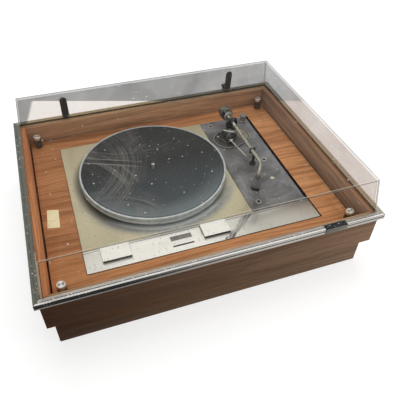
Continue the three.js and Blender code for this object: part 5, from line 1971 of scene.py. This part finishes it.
@dataclass
class PlatterSet:
    """The platter, its mat and the sub-platter with the spindle."""

    radius: float = 151.0
    bottom: float = 99.5
    top: float = 114.5
    web: Flat = (106.5, 111.0)
    mat: tuple = (5.0, 146.0, 111.3, 115.3)
    label: float = 46.0
    sides: int = 192
    ribs: int = 15

    def build(self) -> None:
        """Builds and dresses the platter's pieces."""
        low, high = self.web
        rim = self.radius
        ring_of("platter_look", [
            (11, low), (rim - 11, low), (rim - 11, self.bottom), (rim - 1, self.bottom),
            (rim, self.bottom + 1), (rim, self.bottom + 4.2), (rim - 0.7, self.bottom + 4.6),
            (rim - 0.7, self.top - 4.6),
            (rim, self.top - 4.2), (rim, self.top - 1), (rim - 1, self.top), (rim - 4, self.top),
            (rim - 4.3, high), (11, high),
        ], PLATTER, 0.5, self.sides, "cast_metal", "platter", "cast_metal", "platter")
        self.ribbed_mat()
        self.spindle()

    def ribbed_mat(self) -> None:
        """The mat with its broad flat ribs."""
        bore, rim, low, high = self.mat
        profile = [(bore, low), (rim, low), (rim, high - 0.8), (rim - 0.8, high)]
        pitch = (rim - 6 - self.label) / self.ribs
        for i in range(self.ribs):
            outer = rim - 6 - i * pitch
            profile += [(outer, high), (outer - 0.5, high - 0.5)]
            profile += [(outer - 1.3, high - 0.5), (outer - 1.8, high)]
        profile += [(self.label - 2, high), (self.label - 3, high - 0.7), (bore + 1, high - 0.7)]
        dress = ("mat", "platter", "black_rubber", "platter_mat")
        ring_of("platter_mat_look", profile, PLATTER, 0.2, self.sides, *dress)

    def spindle(self) -> None:
        """The sub-platter with a rounded spindle."""
        shape = turned("sub_platter_look", [
            (0, 44.7), (5, 44.7), (5, 83.0), (13, 83.0), (13, 98.2), (93, 98.2), (93, 91.7), (100, 91.7),
            (100, 106.2), (93, 106.2), (93, 102.2), (13, 102.2), (10.7, 106.2), (10.7, 110.7), (3.6, 110.7),
            (3.6, 121.2), (3.2, 122.6), (1.8, 123.6), (0, 123.8),
        ], PLATTER, sides=96, ease=0.4)
        dressed(shape, "cast_metal", "platter", "cast_metal", "sub_platter")


@dataclass
class ToneArm:
    """Pillar, yoke, arm, lift and rest, round the arm's pivot."""

    straight: float = 148.0
    bend_radius: float = 40.0
    bend: float = 33.0
    front: float = 36.0
    tail: float = 9.0
    tube: float = 3.8
    rest_y: float = -113.0
    yoke_width: float = 24.0

    def at(self, x: float, y: float, z: float) -> Point:
        """A point measured from the pivot."""
        return (PIVOT[0] + x, PIVOT[1] + y, PIVOT[2] + z)

    def line(self, run: float) -> Point:
        """The arm's centreline.

        Args:
            run: The distance from the pivot along the arm.

        Returns:
            The point.
        """
        if run <= self.straight:
            return self.at(0.0, -run, 0.0)
        turn = min((run - self.straight) / self.bend_radius, math.radians(self.bend))
        rest = run - self.straight - turn * self.bend_radius
        x = -self.bend_radius * (1 - math.cos(turn)) - rest * math.sin(turn)
        y = -self.straight - self.bend_radius * math.sin(turn) - rest * math.cos(turn)
        return self.at(x, y, 0.0)

    def build(self) -> None:
        """Builds and dresses the arm and all that carries it."""
        shown("arm_pillar", 0.4, "grey_steel", "sub_chassis", "grey_steel")
        shown("lift_platform", 0.3, "silver", "lift_platform", "silver")
        shown("lift_lever", 0.2, "lever", "lift_lever", "chrome")
        shown("arm_rest", 0.4, "black_plastic", "sub_chassis", "black_plastic")
        shown("bearing_yoke", 0.5, "black_metal", "bearing_yoke", "black_metal", 3)
        self.bearing_screws()
        self.tube_and_bearing()
        shown("headshell", 0.4, "shell", "arm", "black_metal")
        shown("cartridge", 0.4, "black_plastic", "arm", "black_plastic")
        self.weight()

    def bearing_screws(self) -> None:
        """The pivot screws in the yoke's cheeks."""
        for side, name in ((-1, "left"), (1, "right")):
            x = side * self.yoke_width / 2
            turn = (0.0, side * math.pi / 2, 0.0)
            values = {"Radius": 3.2 * MM, "Height": 1.4 * MM, "Slot": 0.7 * MM, "Tilt": turn}
            spot = self.at(x, 0.0, 0.0)
            SCREWS.grow(f"pivot_screw_{name}", [spot], values, "chrome", "bearing_yoke", "chrome")

    def tube_and_bearing(self) -> None:
        """The bent tube with its bearing block, stub, band and front collar."""
        total = self.straight + math.radians(self.bend) * self.bend_radius + self.front
        runs = [-self.tail + i * (total + self.tail) / 90 for i in range(91)]
        tube = swept("arm_tube_look", [self.line(run) for run in runs], self.tube, 28)
        dressed(tube, "tube_metal", "arm", "tube_metal", "arm_tube")
        centre = block("arm_bearing_block", self.at(-7, -6.5, -5.5), self.at(7, 6.5, 5.5), 1.2)
        dressed(centre, "black_metal", "arm", "tube_metal")
        axle = turned("arm_axle", [(0, -12), (1.5, -12), (1.5, 12), (0, 12)], PIVOT, Grain.X, 24, 0.2)
        dressed(axle, "chrome", "arm", "tube_metal")
        profile = [(0, 6), (3.6, 6), (3.6, 55), (2.6, 56), (0, 56)]
        stub = turned("arm_stub", profile, PIVOT, Grain.Y, 32, 0.4)
        dressed(stub, "tube_metal", "arm", "tube_metal")
        for name, look, run, steps, thin, thick in (
            ("arm_sleeve", "chrome", 0, (9, 10, 20, 21), 3.9, 4.25),
            ("arm_band", "black_plastic", -self.rest_y, (-2.5, -2.2, 2.2, 2.5), 4.0, 4.25),
            ("arm_front_collar", "knob_body", total, (-8, -7.4, -1, -0.4), 4.4, 5),
        ):
            path = [self.line(run + step) for step in steps]
            dressed(swept(name, path, [thin, thick, thick, thin], 28), look, "arm", "tube_metal")

    def weight(self) -> None:
        """The counterweight with a bright rear ring."""
        bore = 4.1
        shape = turned("counterweight_look", [
            (bore, 20), (10.5, 20), (10.5, 27), (13.6, 27), (14.5, 28), (14.5, 31.5), (14.0, 32), (14.0, 33),
            (14.5, 33.5), (14.5, 44.8), (13.4, 46), (bore, 46),
        ], PIVOT, Grain.Y, 64, 0.5)
        dressed(shape, "weight", "counterweight", "grey_steel", "counterweight")
        ring = turned("counterweight_scale", [
            (bore + 0.5, 18.4), (9.6, 18.4), (10.2, 19), (10.2, 20.1), (bore + 0.5, 20.1),
        ], PIVOT, Grain.Y, 48, 0.3)
        dressed(ring, "silver", "counterweight", "grey_steel")


@dataclass
class DustCover:
    """The clear cover and the straps that hold it to its hinges."""

    screw_heights: Flat = (153.0, 184.0)
    screw_stand: float = 3.6
    lean: float = (COVER_INSETS[1] - COVER_INSETS[0]) / (COVER_HEIGHTS[1] - COVER_HEIGHTS[0])

    def build(self) -> None:
        """Builds and dresses the cover."""
        shown("dust_cover", 1.4, "clear", "cover", "smoky_clear", 3)
        tilt = (-math.pi / 2 - math.atan(self.lean), 0.0, 0.0)
        values = {"Radius": 3.0 * MM, "Height": 1.4 * MM, "Slot": 0.8 * MM, "Tilt": tilt}
        for side, x in (("left", -STRAP_X), ("right", STRAP_X)):
            shown(f"hinge_strap_{side}", 0.5, "strap", "cover", "black_metal")
            spots = []
            for z in self.screw_heights:
                wall = HALF[1] + MIDDLE_Y - COVER_INSETS[0] - (z - COVER_HEIGHTS[0]) * self.lean
                spots.append((x, wall + self.screw_stand, z))
            SCREWS.grow(f"strap_screws_{side}", spots, values, "chrome", "cover", "grey_steel")


@dataclass
class Studio:
    """Floor, soft lamps, white surroundings and the camera."""

    eye: Point = (-0.2163, -0.6988, 0.7297)
    yaw: float = 20.46
    pitch: float = 43.48
    roll: float = 1.65
    lens: float = 41.85
    lamps: tuple = (
        ("overhead", (0.1, 0.45, 1.7), (0.0, 0.0, 0.1), 1.5, 17.0),
        ("right_window", (1.05, -0.85, 0.55), (0.3, -0.25, 0.08), 0.5, 3.2),
    )
    floor_half: float = 6000.0
    floor_height: float = -0.6

    def build(self) -> None:
        """Builds the studio."""
        self.floor()
        self.world()
        for name, place, target, size, power in self.lamps:
            self.lamp(name, Vector(place), Vector(target), size, power)
        self.camera()
        bpy.context.scene.view_settings.view_transform = "Standard"

    def floor(self) -> None:
        """A wide pale floor that keeps the shadow."""
        corners = ((-1, -1), (1, -1), (1, 1), (-1, 1))
        points = [(x * self.floor_half, y * self.floor_half, self.floor_height) for x, y in corners]
        floor = new_piece("floor", points, [(0, 1, 2, 3)])
        mix = Mixer("floor_white")
        base = mix.blend(mix.noise(3.0, 2.0), (0.46, 0.46, 0.455), (0.48, 0.48, 0.475))
        glow = mix.times(mix.seen(), 0.68)
        mix.shade(Base_Color=base, Roughness=0.9, Emission_Color=(1.0, 1.0, 1.0), Emission_Strength=glow)
        floor.data.materials.append(mix.material)

    def world(self) -> None:
        """White where the camera or a reflection sees it, softer as a lamp."""
        world = bpy.data.worlds.new("studio")
        bpy.context.scene.world = world
        world.use_nodes = True
        nodes = Nodes(world.node_tree)
        ground = nodes.tree.nodes["Background"]
        nodes.feed(ground.inputs["Strength"], nodes.ranged(nodes.seen(), 0.0, 1.0, 0.46, 1.0))
        nodes.feed(ground.inputs["Color"], (1.0, 1.0, 1.0))

    def lamp(self, name: str, place: Vector, target: Vector, size: float, power: float) -> None:
        """One soft square lamp.

        Args:
            name: Its name.
            place: Where it hangs, in metres.
            target: What it points at.
            size: Its side in metres.
            power: In watts.
        """
        data = bpy.data.lights.new(name, "AREA")
        data.size = size
        data.energy = power
        lamp = added(name, data)
        lamp.location = place
        lamp.rotation_euler = (target - place).to_track_quat("-Z", "Y").to_euler()
        lamp.visible_glossy = False

    def camera(self) -> None:
        """The camera at the photograph's angle."""
        data = bpy.data.cameras.new("camera")
        data.lens = self.lens
        data.sensor_width = 36.0
        data.clip_start = 0.02
        camera = added("camera", data)
        yaw, pitch, roll = (math.radians(a) for a in (self.yaw, self.pitch, self.roll))
        ahead = Vector((math.sin(yaw) * math.cos(pitch), math.cos(yaw) * math.cos(pitch), -math.sin(pitch)))
        level = Vector((math.cos(yaw), -math.sin(yaw), 0.0))
        up = level.cross(ahead)
        right = level * math.cos(roll) + up * math.sin(roll)
        top = up * math.cos(roll) - level * math.sin(roll)
        turn = Matrix((right, top, -ahead)).transposed()
        camera.matrix_world = Matrix.Translation(Vector(self.eye)) @ turn.to_4x4()
        bpy.context.scene.camera = camera


def main() -> None:
    """Builds every sub-assembly in order, then the studio."""
    logging.basicConfig(level=logging.INFO, format="%(name)s %(message)s")
    for part in (Plinth, Suspension, MotorBoard, Chassis, PlatterSet, ToneArm, DustCover, Studio):
        LOG.info("building %s", part.__name__)
        part().build()


if __name__ == "__main__":
    main()
